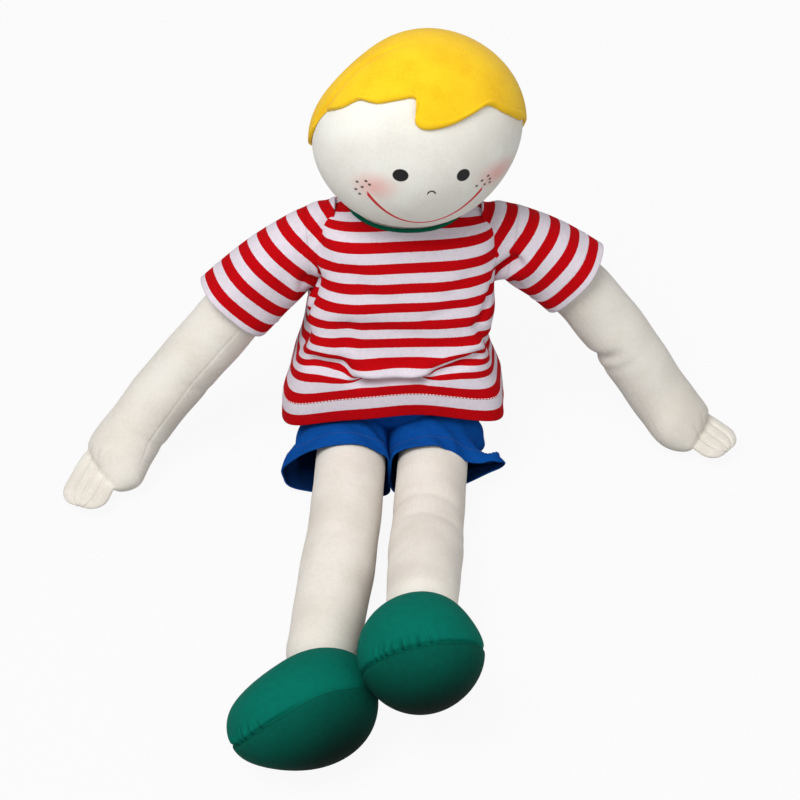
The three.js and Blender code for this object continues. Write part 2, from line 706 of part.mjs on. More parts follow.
function makeShorts() {
  const space = toSolid(torsoForm(seamGap).applyMatrix4(toWorld)).subtract(belowFloor(clothThickness));
  const low = new THREE.Vector3(-reach, -reach, waistbandLevel);
  const high = new THREE.Vector3(reach, reach, reach);
  const aboveBand = toSolid(boxBetween(low, high).applyMatrix4(toWorld));
  let body = seatForm(clothThickness).subtract(aboveBand);
  let hollow = seatForm(0);
  for (const [side, hem] of [['right', shortsRightHem], ['left', shortsLeftHem]]) {
    body = body.add(toSolid(shortsLeg(side, hem, 0, 0)));
    hollow = hollow.add(toSolid(shortsLeg(side, hem, -clothThickness, clothThickness)));
  }
  hollow = hollow.subtract(belowFloor(clothThickness));
  const shell = body.subtract(hollow).subtract(belowFloor(0)).subtract(space);
  const rightHalf = boxBetween(
    new THREE.Vector3(-reach, -reach, -reach),
    new THREE.Vector3(shortsSeam - seamGap / 2, reach, reach),
  );
  const leftHalf = boxBetween(
    new THREE.Vector3(shortsSeam + seamGap / 2, -reach, -reach),
    new THREE.Vector3(reach, reach, reach),
  );
  addPiece('shorts_right', shell.intersect(toSolid(rightHalf)), shortsColour);
  addPiece('shorts_left', shell.intersect(toSolid(leftHalf)), shortsColour);
  makeWaistband();
}

function bandRing(low, high, inside, outside) {
  const at = smooth(torsoStations);
  const span = torsoStations.length - 1;
  const share = (1 + (waistbandLevel - hipLevel) / (waistLevel - hipLevel)) / span;
  const { x, y } = at(share);
  const ring = (z, grow) => {
    const centre = new THREE.Vector3(0, 0, z);
    return oval(centre, xAxis, yAxis, x + grow, y + grow, bodySides, bodySquareness);
  };
  const rings = [ring(low, outside), ring(high, outside), ring(high, inside), ring(low, inside)];
  return toSolid(skinOver(rings, true));
}

function makeWaistband() {
  const low = waistbandLevel + seamGap;
  const high = low + waistbandHeight;
  const middle = (low + high) / 2;
  const lay = 3 * seamGap;
  const elasticLow = middle - elasticHeight / 2;
  const elasticHigh = middle + elasticHeight / 2;
  const elastic = bandRing(elasticLow, elasticHigh, lay, lay + elasticThickness);
  const wide = lay + elasticThickness + seamGap;
  const channel = bandRing(elasticLow - seamGap, elasticHigh + seamGap, -clothThickness, wide);
  const casing = bandRing(low, high, lay, wide + clothThickness).subtract(channel);
  addPiece('waist_elastic', elastic, elasticColour, upperBody);
  addPiece('waistband', casing, shortsColour, upperBody);
}

makeTorso();
makeHead();
makeHair();
const rightArm = armPath('right', rightArmBend, rightWrist, rightHandTurn, rightSleeveLength);
const leftArm = armPath('left', leftArmBend, leftWrist, leftHandTurn, leftSleeveLength);
makeArm('right', rightArm);
makeArm('left', leftArm);
const rightFoot = footFrameAt('right', rightShoe, rightFootHeading, rightFootRise, rightFootRoll);
const leftFoot = footFrameAt('left', leftShoe, leftFootHeading, leftFootRise, leftFootRoll);
addPiece('leg_right', legForm('right', rightKnee, rightAnkle, 0), skinColour);
addPiece('leg_left', legForm('left', leftKnee, leftAnkle, 0), skinColour);
makeShoe('right', rightFoot, legForm('right', rightKnee, rightAnkle, seamGap));
makeShoe('left', leftFoot, legForm('left', leftKnee, leftAnkle, seamGap));
const shirtSpace = makeShirt([rightArm, leftArm]);
makeSleeve('right', rightArm, shirtSpace);
makeSleeve('left', leftArm, shirtSpace);
makeShorts();

export default doll;
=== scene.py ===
from functools import partialmethod

import bpy
import numpy as np
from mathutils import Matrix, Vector


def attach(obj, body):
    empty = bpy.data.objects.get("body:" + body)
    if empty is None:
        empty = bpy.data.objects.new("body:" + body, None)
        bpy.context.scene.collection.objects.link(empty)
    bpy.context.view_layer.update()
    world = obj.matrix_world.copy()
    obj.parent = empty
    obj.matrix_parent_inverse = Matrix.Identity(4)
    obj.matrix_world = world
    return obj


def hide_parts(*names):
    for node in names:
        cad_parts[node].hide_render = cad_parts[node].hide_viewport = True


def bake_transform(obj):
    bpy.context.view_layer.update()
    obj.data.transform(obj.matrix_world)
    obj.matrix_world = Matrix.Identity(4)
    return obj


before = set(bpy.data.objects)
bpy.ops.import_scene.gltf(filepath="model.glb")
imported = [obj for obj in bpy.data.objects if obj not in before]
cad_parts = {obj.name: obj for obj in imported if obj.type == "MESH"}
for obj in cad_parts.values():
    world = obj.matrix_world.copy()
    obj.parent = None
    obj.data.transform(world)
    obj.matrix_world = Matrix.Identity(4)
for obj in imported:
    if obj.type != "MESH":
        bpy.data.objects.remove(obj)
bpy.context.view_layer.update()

mm = 0.001  # shapes are worked out in millimetres, meshes are in metres
wholeTurn = 2 * np.pi
scene = bpy.context.scene
print("doll: frame loaded with", len(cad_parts), "nodes")


# A shader socket and the sums it can take part in
class Wire:
    def __init__(self, nodes, socket):
        self.nodes, self.socket = nodes, socket

    def math(self, operation, *rest):
        return self.nodes.node("Math", dict(enumerate((self,) + rest)), operation=operation)

    def __rsub__(self, other):
        return self.nodes.node("Math", {0: other, 1: self}, operation="SUBTRACT")

    __add__ = __radd__ = partialmethod(math, "ADD")
    __sub__ = partialmethod(math, "SUBTRACT")
    __mul__ = partialmethod(math, "MULTIPLY")
    __truediv__ = partialmethod(math, "DIVIDE")
    __pow__ = partialmethod(math, "POWER")
    __abs__ = partialmethod(math, "ABSOLUTE")


# A node tree: node() adds any node, sets it and then gives its inputs their values or links
class Nodes:
    def __init__(self, tree):
        self.tree = tree
        tree.nodes.clear()

    def join(self, socket, value):
        if isinstance(value, Wire):
            self.tree.links.new(value.socket, socket)
        else:
            socket.default_value = value

    def node(self, kind, inputs, output=0, **settings):
        made = self.tree.nodes.new("ShaderNode" + kind)
        for name, value in settings.items():
            setattr(made, name, value)
        for key, value in inputs.items():
            self.join(made.inputs[key], value)
        return Wire(self, made.outputs[output]) if len(made.outputs) else None

    # One for what is looked at, straight or by a mirror or glass, and zero for the light that bounces
    def seen(self):
        first, *others = (self.node("LightPath", {}, f"Is {ray} Ray")
                          for ray in ("Camera", "Glossy", "Transmission"))
        for other in others:
            first = first.math("MAXIMUM", other)
        return first


# A material around one principled shader
class Finish(Nodes):
    def __init__(self, name, **fixed):
        self.material = bpy.data.materials.new(name)
        self.material.use_nodes = True
        super().__init__(self.material.node_tree)
        self.shader = self.tree.nodes.new("ShaderNodeBsdfPrincipled")
        self.plain = Wire(self, self.shader.outputs[0])
        self.feed(**fixed)

    def feed(self, **sockets):
        for name, value in sockets.items():
            self.join(self.shader.inputs[name.replace("_", " ")], value)

    def done(self, shown=None, **sockets):
        self.feed(**sockets)
        self.node("OutputMaterial", {0: shown or self.plain})
        return self.material

    def parts(self, vector):
        return [self.node("SeparateXYZ", {0: vector}, part) for part in range(3)]

    def cloth(self):
        return self.parts(self.node("UVMap", {}, uv_map="cloth"))[:2]

    def noise(self, scale, detail, rough=0.5):
        place = self.node("TexCoord", {}, "Object")
        return self.node("TexNoise", {"Vector": place, "Scale": scale, "Detail": detail, "Roughness": rough})

    def step(self, value, low, high):
        return self.node("MapRange", {0: value, 1: low, 2: high}, interpolation_type="SMOOTHSTEP")

    def mix(self, share, first, second, blend="MIX"):
        colours = {0: share, 6: paint(first), 7: paint(second)}
        return self.node("Mix", colours, 2, data_type="RGBA", blend_type=blend)

    def bump(self, height, strength, distance):
        return self.node("Bump", {"Height": height, "Strength": strength, "Distance": distance})


# A screen colour of 0 to 255 as the linear one that a socket takes; a wire stays as it is
def paint(colour):
    if isinstance(colour, Wire):
        return colour
    share = np.array(colour) / 255
    straight = np.where(share < 0.04045, share / 12.92, ((share + 0.055) / 1.055) ** 2.4)
    return (*straight.tolist(), 1.0)


# Jersey: a column of small V stitches, a ridge for each wale and a slanted row inside it
def jersey(finish, wale, course):
    across, along = finish.cloth()
    zig = abs((across / wale).math("FRACT") - 0.5) * 2
    row = abs((along / course + zig * 0.5).math("FRACT") - 0.5) * 2
    return (1 - zig * zig) * (0.55 + row * 0.45)


# Ivory knit, a pale and a dark tone for the limbs and for the head: the limbs' tones are darker as painted shade, the
# head's paler as painted light
ivory = dict(limbs=((232, 227, 218), (211, 203, 191)), head=((240, 239, 231), (221, 216, 206)),
             wale=0.9 * mm, course=0.75 * mm, blotch=26, fibre=420, relief=0.35, height=0.5 * mm)


def knitSkin(name, pale, shade):
    finish = Finish(name, Roughness=0.9, Sheen_Weight=0.12, Sheen_Roughness=0.6, Specular_IOR_Level=0.25)
    knit = jersey(finish, ivory["wale"], ivory["course"])
    fibre = finish.noise(ivory["fibre"], 3)
    cloud = finish.step(finish.noise(ivory["blotch"], 3) * 0.75 + fibre * 0.25, 0.34, 0.66)
    finish.feed(Normal=finish.bump(knit * 0.7 + fibre * 0.5, ivory["relief"], ivory["height"]))
    return finish, finish.mix(knit * 0.22 + cloud * 0.6 + 0.18, shade, pale)


# Printed face: each mark is a soft-edged mask on the head's own x and z, in centimetres; freckles and cheeks are
# placed by degrees; an arc's height is its low point plus its bend times the square of the way aside
face = dict(
    black=(5, 4, 4), red=(204, 14, 24), halo=(252, 240, 228), freckle=(60, 28, 24),
    blush=(236, 146, 138), front=(0.4, 1.2), half=(6.95, 6.45),
    eyes=[(-1.93, -0.30, 0.50, 0.46), (2.14, -0.5, 0.44, 0.46)], eyeEdge=(1.03, 0.97),
    freckles=[(-42, -12), (-36, -10), (-44, -18), (-39, -15), (-34, -12), (-42, -21),
              (31, -12), (35, -10), (37, -13), (34, -16), (38, -16), (28, -15)],
    freckleSize=(0.1, 0.1), freckleEdge=(1.2, 0.75), freckleShare=0.9,
    cheeks=[(-31, -13), (42, -11)], cheekSize=(1.95, 1.5), cheekShare=0.58,
    mouth=dict(aside=-0.16, low=-4.66, bend=0.184, steep=0.135, ends=(3.8, 3.7)), mouthEdge=(0.09, 0.06),
    mouthSwell=0.0026, haloEdge=(0.2, 0.12), haloShare=0.6,
    nose=dict(aside=0.12, low=-1.5, bend=-2.9, steep=33, ends=(0.30, 0.25)), noseEdge=(0.075, 0.045))


def printedFace():
    finish, colour = knitSkin("printedFace", *ivory["head"])
    x, y, z = finish.parts(finish.node("Attribute", {}, "Vector", attribute_name="facePoint"))
    front = finish.step(y * -1, *face["front"])

    def reach(across, up, halfAcross, halfUp):
        return ((((x - across) / halfAcross) ** 2) + (((z - up) / halfUp) ** 2)) ** 0.5

    def byDegrees(lon, lat):
        lon, lat = np.radians([lon, lat])
        return float(face["half"][0] * np.sin(lon) * np.cos(lat)), float(face["half"][1] * np.sin(lat))

    def arc(aside, low, bend, steep, ends):
        off = x - aside
        away = abs(z - (off * off * bend + low)) / ((off * off * steep + 1) ** 0.5)
        return off, away, finish.step(abs(off), *ends) * front

    for cheek in face["cheeks"]:
        glow = finish.step(reach(*byDegrees(*cheek), *face["cheekSize"]), 1.0, 0.0)
        colour = finish.mix(glow * front * face["cheekShare"], colour, face["blush"])
    off, away, inside = arc(**face["mouth"])
    colour = finish.mix(finish.step(away, *face["haloEdge"]) * inside * face["haloShare"], colour, face["halo"])
    away = away - off * off * face["mouthSwell"]
    colour = finish.mix(finish.step(away, *face["mouthEdge"]) * inside, colour, face["red"])
    for freckle in face["freckles"]:
        dot = finish.step(reach(*byDegrees(*freckle), *face["freckleSize"]), *face["freckleEdge"])
        colour = finish.mix(dot * front * face["freckleShare"], colour, face["freckle"])
    _, away, inside = arc(**face["nose"])
    colour = finish.mix(finish.step(away, *face["noseEdge"]) * inside, colour, face["black"])
    for eye in face["eyes"]:
        colour = finish.mix(finish.step(reach(*eye), *face["eyeEdge"]) * front, colour, face["black"])
    return finish.done(Base_Color=colour)


felt = dict(bright=(245, 200, 28), deep=(234, 183, 16), fibre=620, cloud=48, relief=0.35, height=0.6 * mm)


def yellowFelt():
    finish = Finish("yellowFelt", Roughness=0.95, Sheen_Weight=0.12, Sheen_Roughness=0.5, Specular_IOR_Level=0.2)
    fibre = finish.noise(felt["fibre"], 4, 0.7)
    tone = finish.step(fibre * 0.45 + finish.noise(felt["cloud"], 3) * 0.55, 0.3, 0.62)
    return finish.done(Base_Color=finish.mix(tone, felt["deep"], felt["bright"]),
                       Normal=finish.bump(fibre, felt["relief"], felt["height"]))


# Striped jersey: red and white turns of one period along the cloth's own length
stripes = dict(red=(192, 0, 10), white=(228, 218, 228), period=15.8 * mm, redHalf=0.25, soft=0.012,
               wale=0.8 * mm, course=0.7 * mm, fibre=380, edgeFibre=900, ragged=0.03, relief=0.4, height=0.4 * mm)


def stripedKnit(name, start):
    finish = Finish(name, Roughness=0.9, Specular_IOR_Level=0.1)
    knit = jersey(finish, stripes["wale"], stripes["course"])
    ragged = finish.noise(stripes["edgeFibre"], 1) * stripes["ragged"]
    place = (finish.cloth()[1] / stripes["period"] + start + ragged).math("FRACT")
    half, soft = stripes["redHalf"], stripes["soft"]
    colour = finish.mix(finish.step(abs(place - half), half + soft, half - soft), stripes["white"], stripes["red"])
    fibre = finish.noise(stripes["fibre"], 3)
    tone = knit * 0.14 + fibre * 0.2 + 0.72
    grey = finish.node("CombineXYZ", {0: tone, 1: tone, 2: tone})
    return finish.done(Base_Color=finish.mix(1.0, colour, grey, "MULTIPLY"),
                       Normal=finish.bump(knit * 0.7 + fibre * 0.4, stripes["relief"], stripes["height"]))


# Woven cotton: over-and-under threads from two sine rows a thread apart; a deep colour, where one is given, is
# painted shade: it covers the start of the cloth's length and fades out between two lengths along it
cotton = dict(slub=240, cloud=30, relief=0.35, height=0.4 * mm)


def wovenCotton(name, light, dark, thread, deep=None, fade=None):
    finish = Finish(name, Roughness=0.92, Specular_IOR_Level=0.08)
    across, along = finish.cloth()
    warp, weft = ((way * (wholeTurn / thread)).math("SINE") for way in (across, along))
    weave = warp * weft * 0.5 + 0.5
    slub = finish.noise(cotton["slub"], 3)
    tone = slub * 0.35 + finish.noise(cotton["cloud"], 2) * 0.25 + weave * 0.4
    colour = finish.mix(finish.step(tone, 0.15, 0.85), dark, light)
    if deep:
        colour = finish.mix(finish.step(along, *fade), deep, colour)
    return finish.done(Base_Color=colour,
                       Normal=finish.bump(weave * 0.6 + slub * 0.6, cotton["relief"], cotton["height"]))


def plainThread(name, light, dark):
    finish = Finish(name, Roughness=0.7, Sheen_Weight=0.2)
    return finish.done(Base_Color=finish.mix(finish.noise(1500, 1), dark, light))


# the limbs' knit, in its painted-shade tones
limbFinish, limbColour = knitSkin("ivoryKnit", *ivory["limbs"])
skinCloth = limbFinish.done(Base_Color=limbColour)
faceCloth = printedFace()
hairFelt = yellowFelt()
shirtKnit = stripedKnit("stripedKnit", 0.0)
sleeveKnit = stripedKnit("sleeveKnit", 0.72)
blueCotton = wovenCotton("blueCotton", (8, 80, 160), (2, 58, 130), 0.7 * mm)
shoeCotton = wovenCotton("greenCotton", (0, 110, 93), (0, 90, 76), 0.8 * mm)
# The sole: the upper's green cloth made darker as painted shade, with a painted shade near black at its middle
soleCottonShaded = wovenCotton("soleGreenPaintedShade", (0, 88, 73), (0, 68, 56), 0.8 * mm, (0, 18, 12), (20 * mm, 72 * mm))
bindingRib = wovenCotton("greenBinding", (8, 104, 76), (2, 76, 56), 1.1 * mm)
whiteThread = plainThread("whiteThread", (244, 238, 240), (214, 206, 212))
blueThread = plainThread("blueThread", (6, 62, 134), (2, 44, 104))
elasticWeave = wovenCotton("whiteElastic", (236, 234, 230), (205, 203, 198), 1.2 * mm)
# The shorts' inner wall: a darker copy of the blue cotton, painted shade for the shadow inside the legs
blueInsideShaded = wovenCotton("blueInsideShaded", (5, 42, 92), (2, 26, 64), 0.7 * mm)
print("doll: finishes mixed")


def turn(axis, degrees):
    cos, sin = np.cos(np.radians(degrees)), np.sin(np.radians(degrees))
    first, second = {"x": (1, 2), "y": (2, 0), "z": (0, 1)}[axis]
    matrix = np.eye(3)
    matrix[first, first] = matrix[second, second] = cos
    matrix[first, second], matrix[second, first] = -sin, sin
    return matrix


def unit(vectors):
    return vectors / np.maximum(np.linalg.norm(vectors, axis=-1, keepdims=True), 1e-9)


def ease(value, low, high):
    share = np.clip((value - low) / (high - low), 0, 1)
    return share * share * (3 - 2 * share)


def bell(value, centre, width):
    return np.exp(-(((value - centre) / width) ** 2))


# Shortest signed way between two places on a closed round
def apart(value, centre, whole=360):
    return (value - centre + whole / 2) % whole - whole / 2


# Quarter round that grows from nothing to one over a length
def roundEnd(run, size):
    return np.sqrt(np.clip(1 - np.clip(1 - run / size, 0, 1) ** 2, 0, 1))


# Shares from nothing to one, closer together at both ends
def crowded(count, start=0.0):
    return 0.5 - 0.5 * np.cos(np.linspace(start, np.pi, count))


def between(low, high, share):
    return low + (high - low) * share


def degreesFrom(ways, centre):
    return np.degrees(np.arccos(np.clip(ways @ unit(np.array(centre)), -1, 1)))


# Smooth curve through points: each span is a cubic whose end slopes come from its neighbours,
# weighted by the square root of their distances
def curveThrough(points, shares):
    known = np.asarray(points, float)
    known = np.concatenate([[2 * known[0] - known[1]], known, [2 * known[-1] - known[-2]]])
    between = np.linalg.norm(np.diff(known, axis=0).reshape(len(known) - 1, -1), axis=1)
    gap = np.maximum(between, 1e-6) ** 0.5
    place = np.clip(np.asarray(shares, float), 0, 1) * (len(points) - 1)
    span = np.minimum(place.astype(int), len(points) - 2)
    fill = (...,) + (None,) * (known.ndim - 1)
    t = (place - span)[fill]
    a, b, c, d = (known[span + k] for k in range(4))
    ga, gb, gc = (gap[span + k][fill] for k in range(3))
    leave = gb * ((b - a) / ga - (c - a) / (ga + gb) + (c - b) / gb)
    arrive = gb * ((c - b) / gb - (d - b) / (gb + gc) + (d - c) / gc)
    return ((2 * t ** 3 - 3 * t ** 2 + 1) * b + (t ** 3 - 2 * t ** 2 + t) * leave
            + (3 * t ** 2 - 2 * t ** 3) * c + (t ** 3 - t ** 2) * arrive)


def inMetres(point):
    return tuple((np.asarray(point) * mm).tolist())


def runLength(points):
    return np.concatenate([[0], np.cumsum(np.linalg.norm(np.diff(points, axis=0), axis=1))])


def spread(at, run, values):
    return np.stack([np.interp(at, run, values[:, k]) for k in range(3)], -1)


# Points at given shares of a smooth curve's length, and that length
def pointsAlong(points, shares):
    fine = curveThrough(points, np.linspace(0, 1, 800))
    run = runLength(fine)
    return spread(np.asarray(shares) * run[-1], run, fine), run[-1]


# Squared oval: in each direction, the point where both coordinates' powers add up to one
def squaredOval(angle, squareness):
    cos, sin = np.cos(angle), np.sin(angle)
    reach = (np.abs(cos) ** squareness + np.abs(sin) ** squareness) ** (-1 / squareness)
    return cos * reach, sin * reach


# Folds: each is a hollow along a broken line in two measures of the cloth, with its depth and width,
# and a swelling that hangs over it on the side of the second measure
def foldDepth(across, along, folds, over, around):
    total = 0
    for line, deep, wide in folds:
        off, rise = np.inf, 0
        for (fromAcross, fromAlong), (toAcross, toAlong) in zip(line, line[1:]):
            run, climb = toAcross - fromAcross, toAlong - fromAlong
            aside, above = apart(across, fromAcross, around), along - fromAlong
            share = np.clip((aside * run + above * climb) / (run * run + climb * climb), 0, 1)
            reach = np.hypot(aside - share * run, above - share * climb)
            rise = np.where(reach < off, above - share * climb, rise)
            off = np.minimum(off, reach)
        hang = over * bell(off, 2.4 * wide, 1.5 * wide) * np.clip(rise / np.maximum(off, 1e-6), 0, 1)
        total = total + deep * (bell(off, 0, wide) - hang)
    return total


# Cloth lengths over a grid, across its columns and along its rows
def clothLengths(points):
    along = np.linalg.norm(np.diff(points, axis=0), axis=2).cumsum(axis=0)
    along = np.concatenate([np.zeros((1, points.shape[1])), along])
    across = np.linalg.norm(np.diff(points, axis=1), axis=2).mean(axis=0).cumsum()
    across = np.broadcast_to(np.concatenate([[0], across]), along.shape)
    return np.stack([across, along], -1)


def surface(points, uv=None, around=False, poleStart=False, poleEnd=False, marks=None, looped=False):
    return dict(points=points, uv=clothLengths(points) if uv is None else uv, around=around,
                poleStart=poleStart, poleEnd=poleEnd, marks=marks, looped=looped)


def closed(points, marks=None):
    return surface(points, around=True, poleStart=True, poleEnd=True, marks=marks)


# Grids to one mesh: the last column joins the first where it goes around, an end row shrinks to a pole
# where it closes, and a grid that points inwards is turned over
def makePiece(name, grids, material, thickness=0.0, shadedInside=None):
    corners, marks, loops, uvs, counts, base = [], [], [], [], [], 0
    for grid in grids:
        points = grid["points"]
        plain = np.arange(points.shape[0] * points.shape[1]).reshape(points.shape[:2])
        ids = plain.copy()
        if grid["around"]:
            ids[:, -1] = ids[:, 0]
        if grid["looped"]:
            ids[-1] = ids[0]
        if grid["poleStart"]:
            ids[0] = ids[0, 0]
        if grid["poleEnd"]:
            ids[-1] = ids[-1, 0]
        quads, looks = (np.stack([k[:-1, :-1], k[:-1, 1:], k[1:, 1:], k[1:, :-1]], -1).reshape(-1, 4)
                        for k in (ids, plain))
        flat = points.reshape(-1, 3)
        middle = flat[quads].mean(axis=1) - flat.mean(axis=0)
        facing = np.cross(flat[quads[:, 2]] - flat[quads[:, 0]], flat[quads[:, 3]] - flat[quads[:, 1]])
        if np.sum(middle * facing) < 0:
            quads, looks = quads[:, ::-1], looks[:, ::-1]
        used, small = np.unique(quads, return_inverse=True)
        small = small.reshape(quads.shape)
        keep = small != np.roll(small, -1, axis=1)  # a corner at a pole is kept once
        keep &= keep.sum(axis=1, keepdims=True) > 2
        corners.append(flat[used])
        loops.append(small[keep] + base)
        uvs.append(grid["uv"].reshape(-1, 2)[looks[keep]])
        counts.append(keep.sum(axis=1)[keep.any(axis=1)])
        if grid["marks"] is not None:
            marks.append(grid["marks"].reshape(-1, 3)[used])
        base += len(used)
    corners, loops, counts = (np.concatenate(each) for each in (corners, loops, counts))
    mesh = bpy.data.meshes.new(name)
    mesh.vertices.add(len(corners))
    mesh.vertices.foreach_set("co", (corners * mm).ravel())
    mesh.loops.add(len(loops))
    mesh.loops.foreach_set("vertex_index", loops)
    mesh.polygons.add(len(counts))
    mesh.polygons.foreach_set("loop_start", np.cumsum(counts) - counts)
    mesh.update(calc_edges=True)
    mesh.uv_layers.new(name="cloth").data.foreach_set("uv", (np.concatenate(uvs) * mm).ravel())
    if marks:
        spot = mesh.attributes.new("facePoint", "FLOAT_VECTOR", "POINT")
        spot.data.foreach_set("vector", np.concatenate(marks).ravel())
    mesh.materials.append(material)
    mesh.shade_smooth()
    mesh.update()
    piece = bpy.data.objects.new(name, mesh)
    scene.collection.objects.link(piece)
    if thickness:
        wall = piece.modifiers.new("wall", "SOLIDIFY")
        wall.thickness, wall.offset = thickness * mm, -1
    # the inner wall takes a second material, here a painted-shade copy
    if shadedInside:
        mesh.materials.append(shadedInside)
        wall.material_offset = 1
    return piece


# What a piece rides on and the solids it replaces; its slot and how full it is stuffed are not used
def sewOn(piece, body, slot, *nodes, fill=None):
    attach(piece, body)
    if nodes:
        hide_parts(*nodes)


# Rings: about each centre, a half width times the cosine across and a half height times the sine up
def rings(centres, across, up, halfAcross, halfUp, angles):
    return (centres[..., None, :] + across[..., None, :] * (halfAcross * np.cos(angles))[..., None]
            + up[..., None, :] * (halfUp * np.sin(angles))[..., None])


# A tube: rings square to a path, upright like the CAD's limbs; directions can be averaged over a length,
# so that the rings don't cross in a sharp bend
def tubeAlong(path, halfAcross, halfUp, angles, steady=0.0):
    way = np.gradient(path, axis=0)
    if steady:
        run = np.cumsum(np.linalg.norm(way, axis=1))
        way = bell(run[:, None], run, steady) @ way
    way = unit(way)
    across = unit(np.cross(way, [0, 0, 1.0]))
    return rings(path, across, np.cross(across, way), halfAcross, halfUp, angles)


# Stitches: each is a capsule of five rings on the cloth, along the line
capsule = dict(along=np.array([-0.5, -0.38, 0, 0.38, 0.5]), size=np.array([0.0, 0.8, 1.0, 0.8, 0.0]), sides=6, sunk=0.4)


def capsuleStitches(points, normals, length, thick):
    way = unit(np.gradient(points, axis=0))
    side = unit(np.cross(way, normals))
    size = (capsule["size"] * thick)[:, None]
    angle = np.linspace(0, wholeTurn, capsule["sides"] + 1)
    centres = points[:, None] + way[:, None] * (capsule["along"] * length)[:, None]
    stitches = rings(centres, side[:, None], np.cross(side, way)[:, None], size, size, angle)
    return [closed(one) for one in stitches]


# Topstitch: stitches at an even pitch where the cloth's length reaches a rise
def stitchLine(grid, normals, rise, pitch, length, thick, cloth=None):
    run = (clothLengths(grid) if cloth is None else cloth)[..., 1]
    column = np.arange(grid.shape[1])
    low = np.clip((run < rise).sum(axis=0) - 1, 0, len(run) - 2)
    share = np.clip((rise - run[low, column]) / (run[low + 1, column] - run[low, column]), 0, 1)[:, None]
    line = grid[low, column] * (1 - share) + grid[low + 1, column] * share
    total = runLength(line)
    count = int(total[-1] / pitch)
    at = (np.arange(count) + 0.5) * total[-1] / count
    facing = unit(spread(at, total, normals[low, column]))
    return capsuleStitches(spread(at, total, line) + facing * thick * capsule["sunk"], facing, length, thick)


def faceWays(grid):
    ways = unit(np.cross(np.gradient(grid, axis=1), np.gradient(grid, axis=0)))
    middle = grid - grid.mean(axis=(0, 1))
    return ways if np.sum(ways * middle) > 0 else -ways


# The doll's posture, as the solids have it
posture = dict(recline=10, lean=2, yaw=7, hips=dict(right=(-32, -8, 28.5), left=(26, -8, 28.5)))
bodyTurn = turn("y", posture["lean"]) @ turn("x", -posture["recline"])
bodyUp = bodyTurn[:, 2]
bodyAt = np.array([0, 0, posture["hips"]["right"][2]])
allAround = np.linspace(0, wholeTurn, 97)
outwards = dict(right=-1, left=1)


def onBody(points):
    return np.asarray(points, float) @ bodyTurn.T + bodyAt


# Head: an ellipsoid by direction, pressed in or swelled over a few spots, and lifted along its normal
headSize = dict(
    centre=(4.4, -14, 231), half=(69.5, 58, 64.5), seamDeep=0.5, seamWide=1.2, seamTop=40, under=0.2,
    forms=[((-0.68, 0.48, 0.55), -0.135, 33), ((-0.93, -0.25, -0.3), 0.04, 38),
           ((0.0, -0.5, -0.87), 0.03, 34), ((0.86, -0.25, -0.45), -0.04, 34),
           ((-0.55, -0.45, -0.7), 0.032, 24)])
headHalf = np.array(headSize["half"])
headTurn = bodyTurn @ turn("z", posture["yaw"])
headAt = onBody(headSize["centre"])


def heading(lon, lat):
    lon, lat = np.radians(lon), np.radians(lat)
    return np.stack([np.sin(lon) * np.cos(lat), -np.cos(lon) * np.cos(lat), np.sin(lat)], -1)


def headSkin(ways, lift):
    swell = 1 + sum(amount * bell(degreesFrom(ways, at), 0, wide) for at, amount, wide in headSize["forms"])
    return ways * headHalf * swell[..., None] + unit(ways / headHalf) * lift[..., None]


def onHead(points):
    return points @ headTurn.T + headAt


lon, lat = np.meshgrid(np.linspace(-180, 180, 145), np.linspace(-90, 90, 97))
seam = -headSize["seamDeep"] * bell(np.abs(lon), 90, headSize["seamWide"]) * (lat < headSize["seamTop"])
local = headSkin(heading(lon, lat), seam - headSize["under"])
head = makePiece("dollHead", [closed(onHead(local), local / 10)], faceCloth)
sewOn(head, "head", "ivory_knit", "head", fill=0.9)
print("doll: head stuffed")

# Hair: felt panels between two curves on the head, given in degrees around and up
hair = dict(
    fringe=[(-73.5, 20.5), (-61, 27.5), (-50, 36), (-43, 36.5), (-36, 37), (-21, 41.5), (-12, 43), (-8, 38.5),
            (-9, 33.5), (-10, 29.5), (-7, 26), (-1.5, 25), (10, 26.5), (25.5, 30.5), (37, 32.8), (42, 32),
            (51, 25), (66, 14.5), (71, 12)],
    nape=[(-73.5, 20.5), (-79, 12), (-82, 5), (-87, -4), (-101, -15), (-126, -22), (-180, -24), (-234, -22),
          (-258, -12), (-271, 1), (-281, 9), (-289, 12)],
    count=161, across=45, radius=64, partingBack=6, partingTop=70, partingSlope=22, partingSpan=(24, 158),
    thick=2.3, edge=2.6, inside=0.1, tuckUnder=2.0, tuckMost=0.12, tuckDrop=1.3, roll=0.9, rollAt=(4.5, 3.2),
    line=0.7, lineAt=(6.5, 0.8), lockAt=0.42, lockFade=(0.16, 0.3), seamDent=0.5, seamWide=2.6,
    seamFade=(0.5, 0.3), dropFade=(0.1, 1.2), fullWide=3, templeThin=0.8, templeFade=(0.26, 0.08),
    templeReach=(20, 3))


# Parting: where a plane that leans forwards cuts the head, from the right temple over to the left one
def partingLine(count):
    slope = np.tan(np.radians(hair["partingSlope"]))
    angle = np.radians(np.linspace(*hair["partingSpan"], count))
    x, z = -np.cos(angle) * headHalf[0], np.sin(angle) * headHalf[2]
    back = -hair["partingBack"] - slope * hair["partingTop"]
    a = (x / headHalf[0]) ** 2 + (z / headHalf[2]) ** 2 + (slope * z / headHalf[1]) ** 2
    b = 2 * back * slope * z / headHalf[1] ** 2
    c = (back / headHalf[1]) ** 2 - 1
    t = (-b + np.sqrt(b * b - 4 * a * c)) / (2 * a)
    ways = unit(np.stack([x * t, back + slope * z * t, z * t], -1) / headHalf)
    share = np.linspace(0, 1, count)[:, None]
    temples = heading(*np.array([hair["fringe"][0], hair["fringe"][-1]], float).T)
    return unit(ways + (temples[0] - ways[0]) * (1 - share) ** 3 + (temples[1] - ways[-1]) * share ** 3)


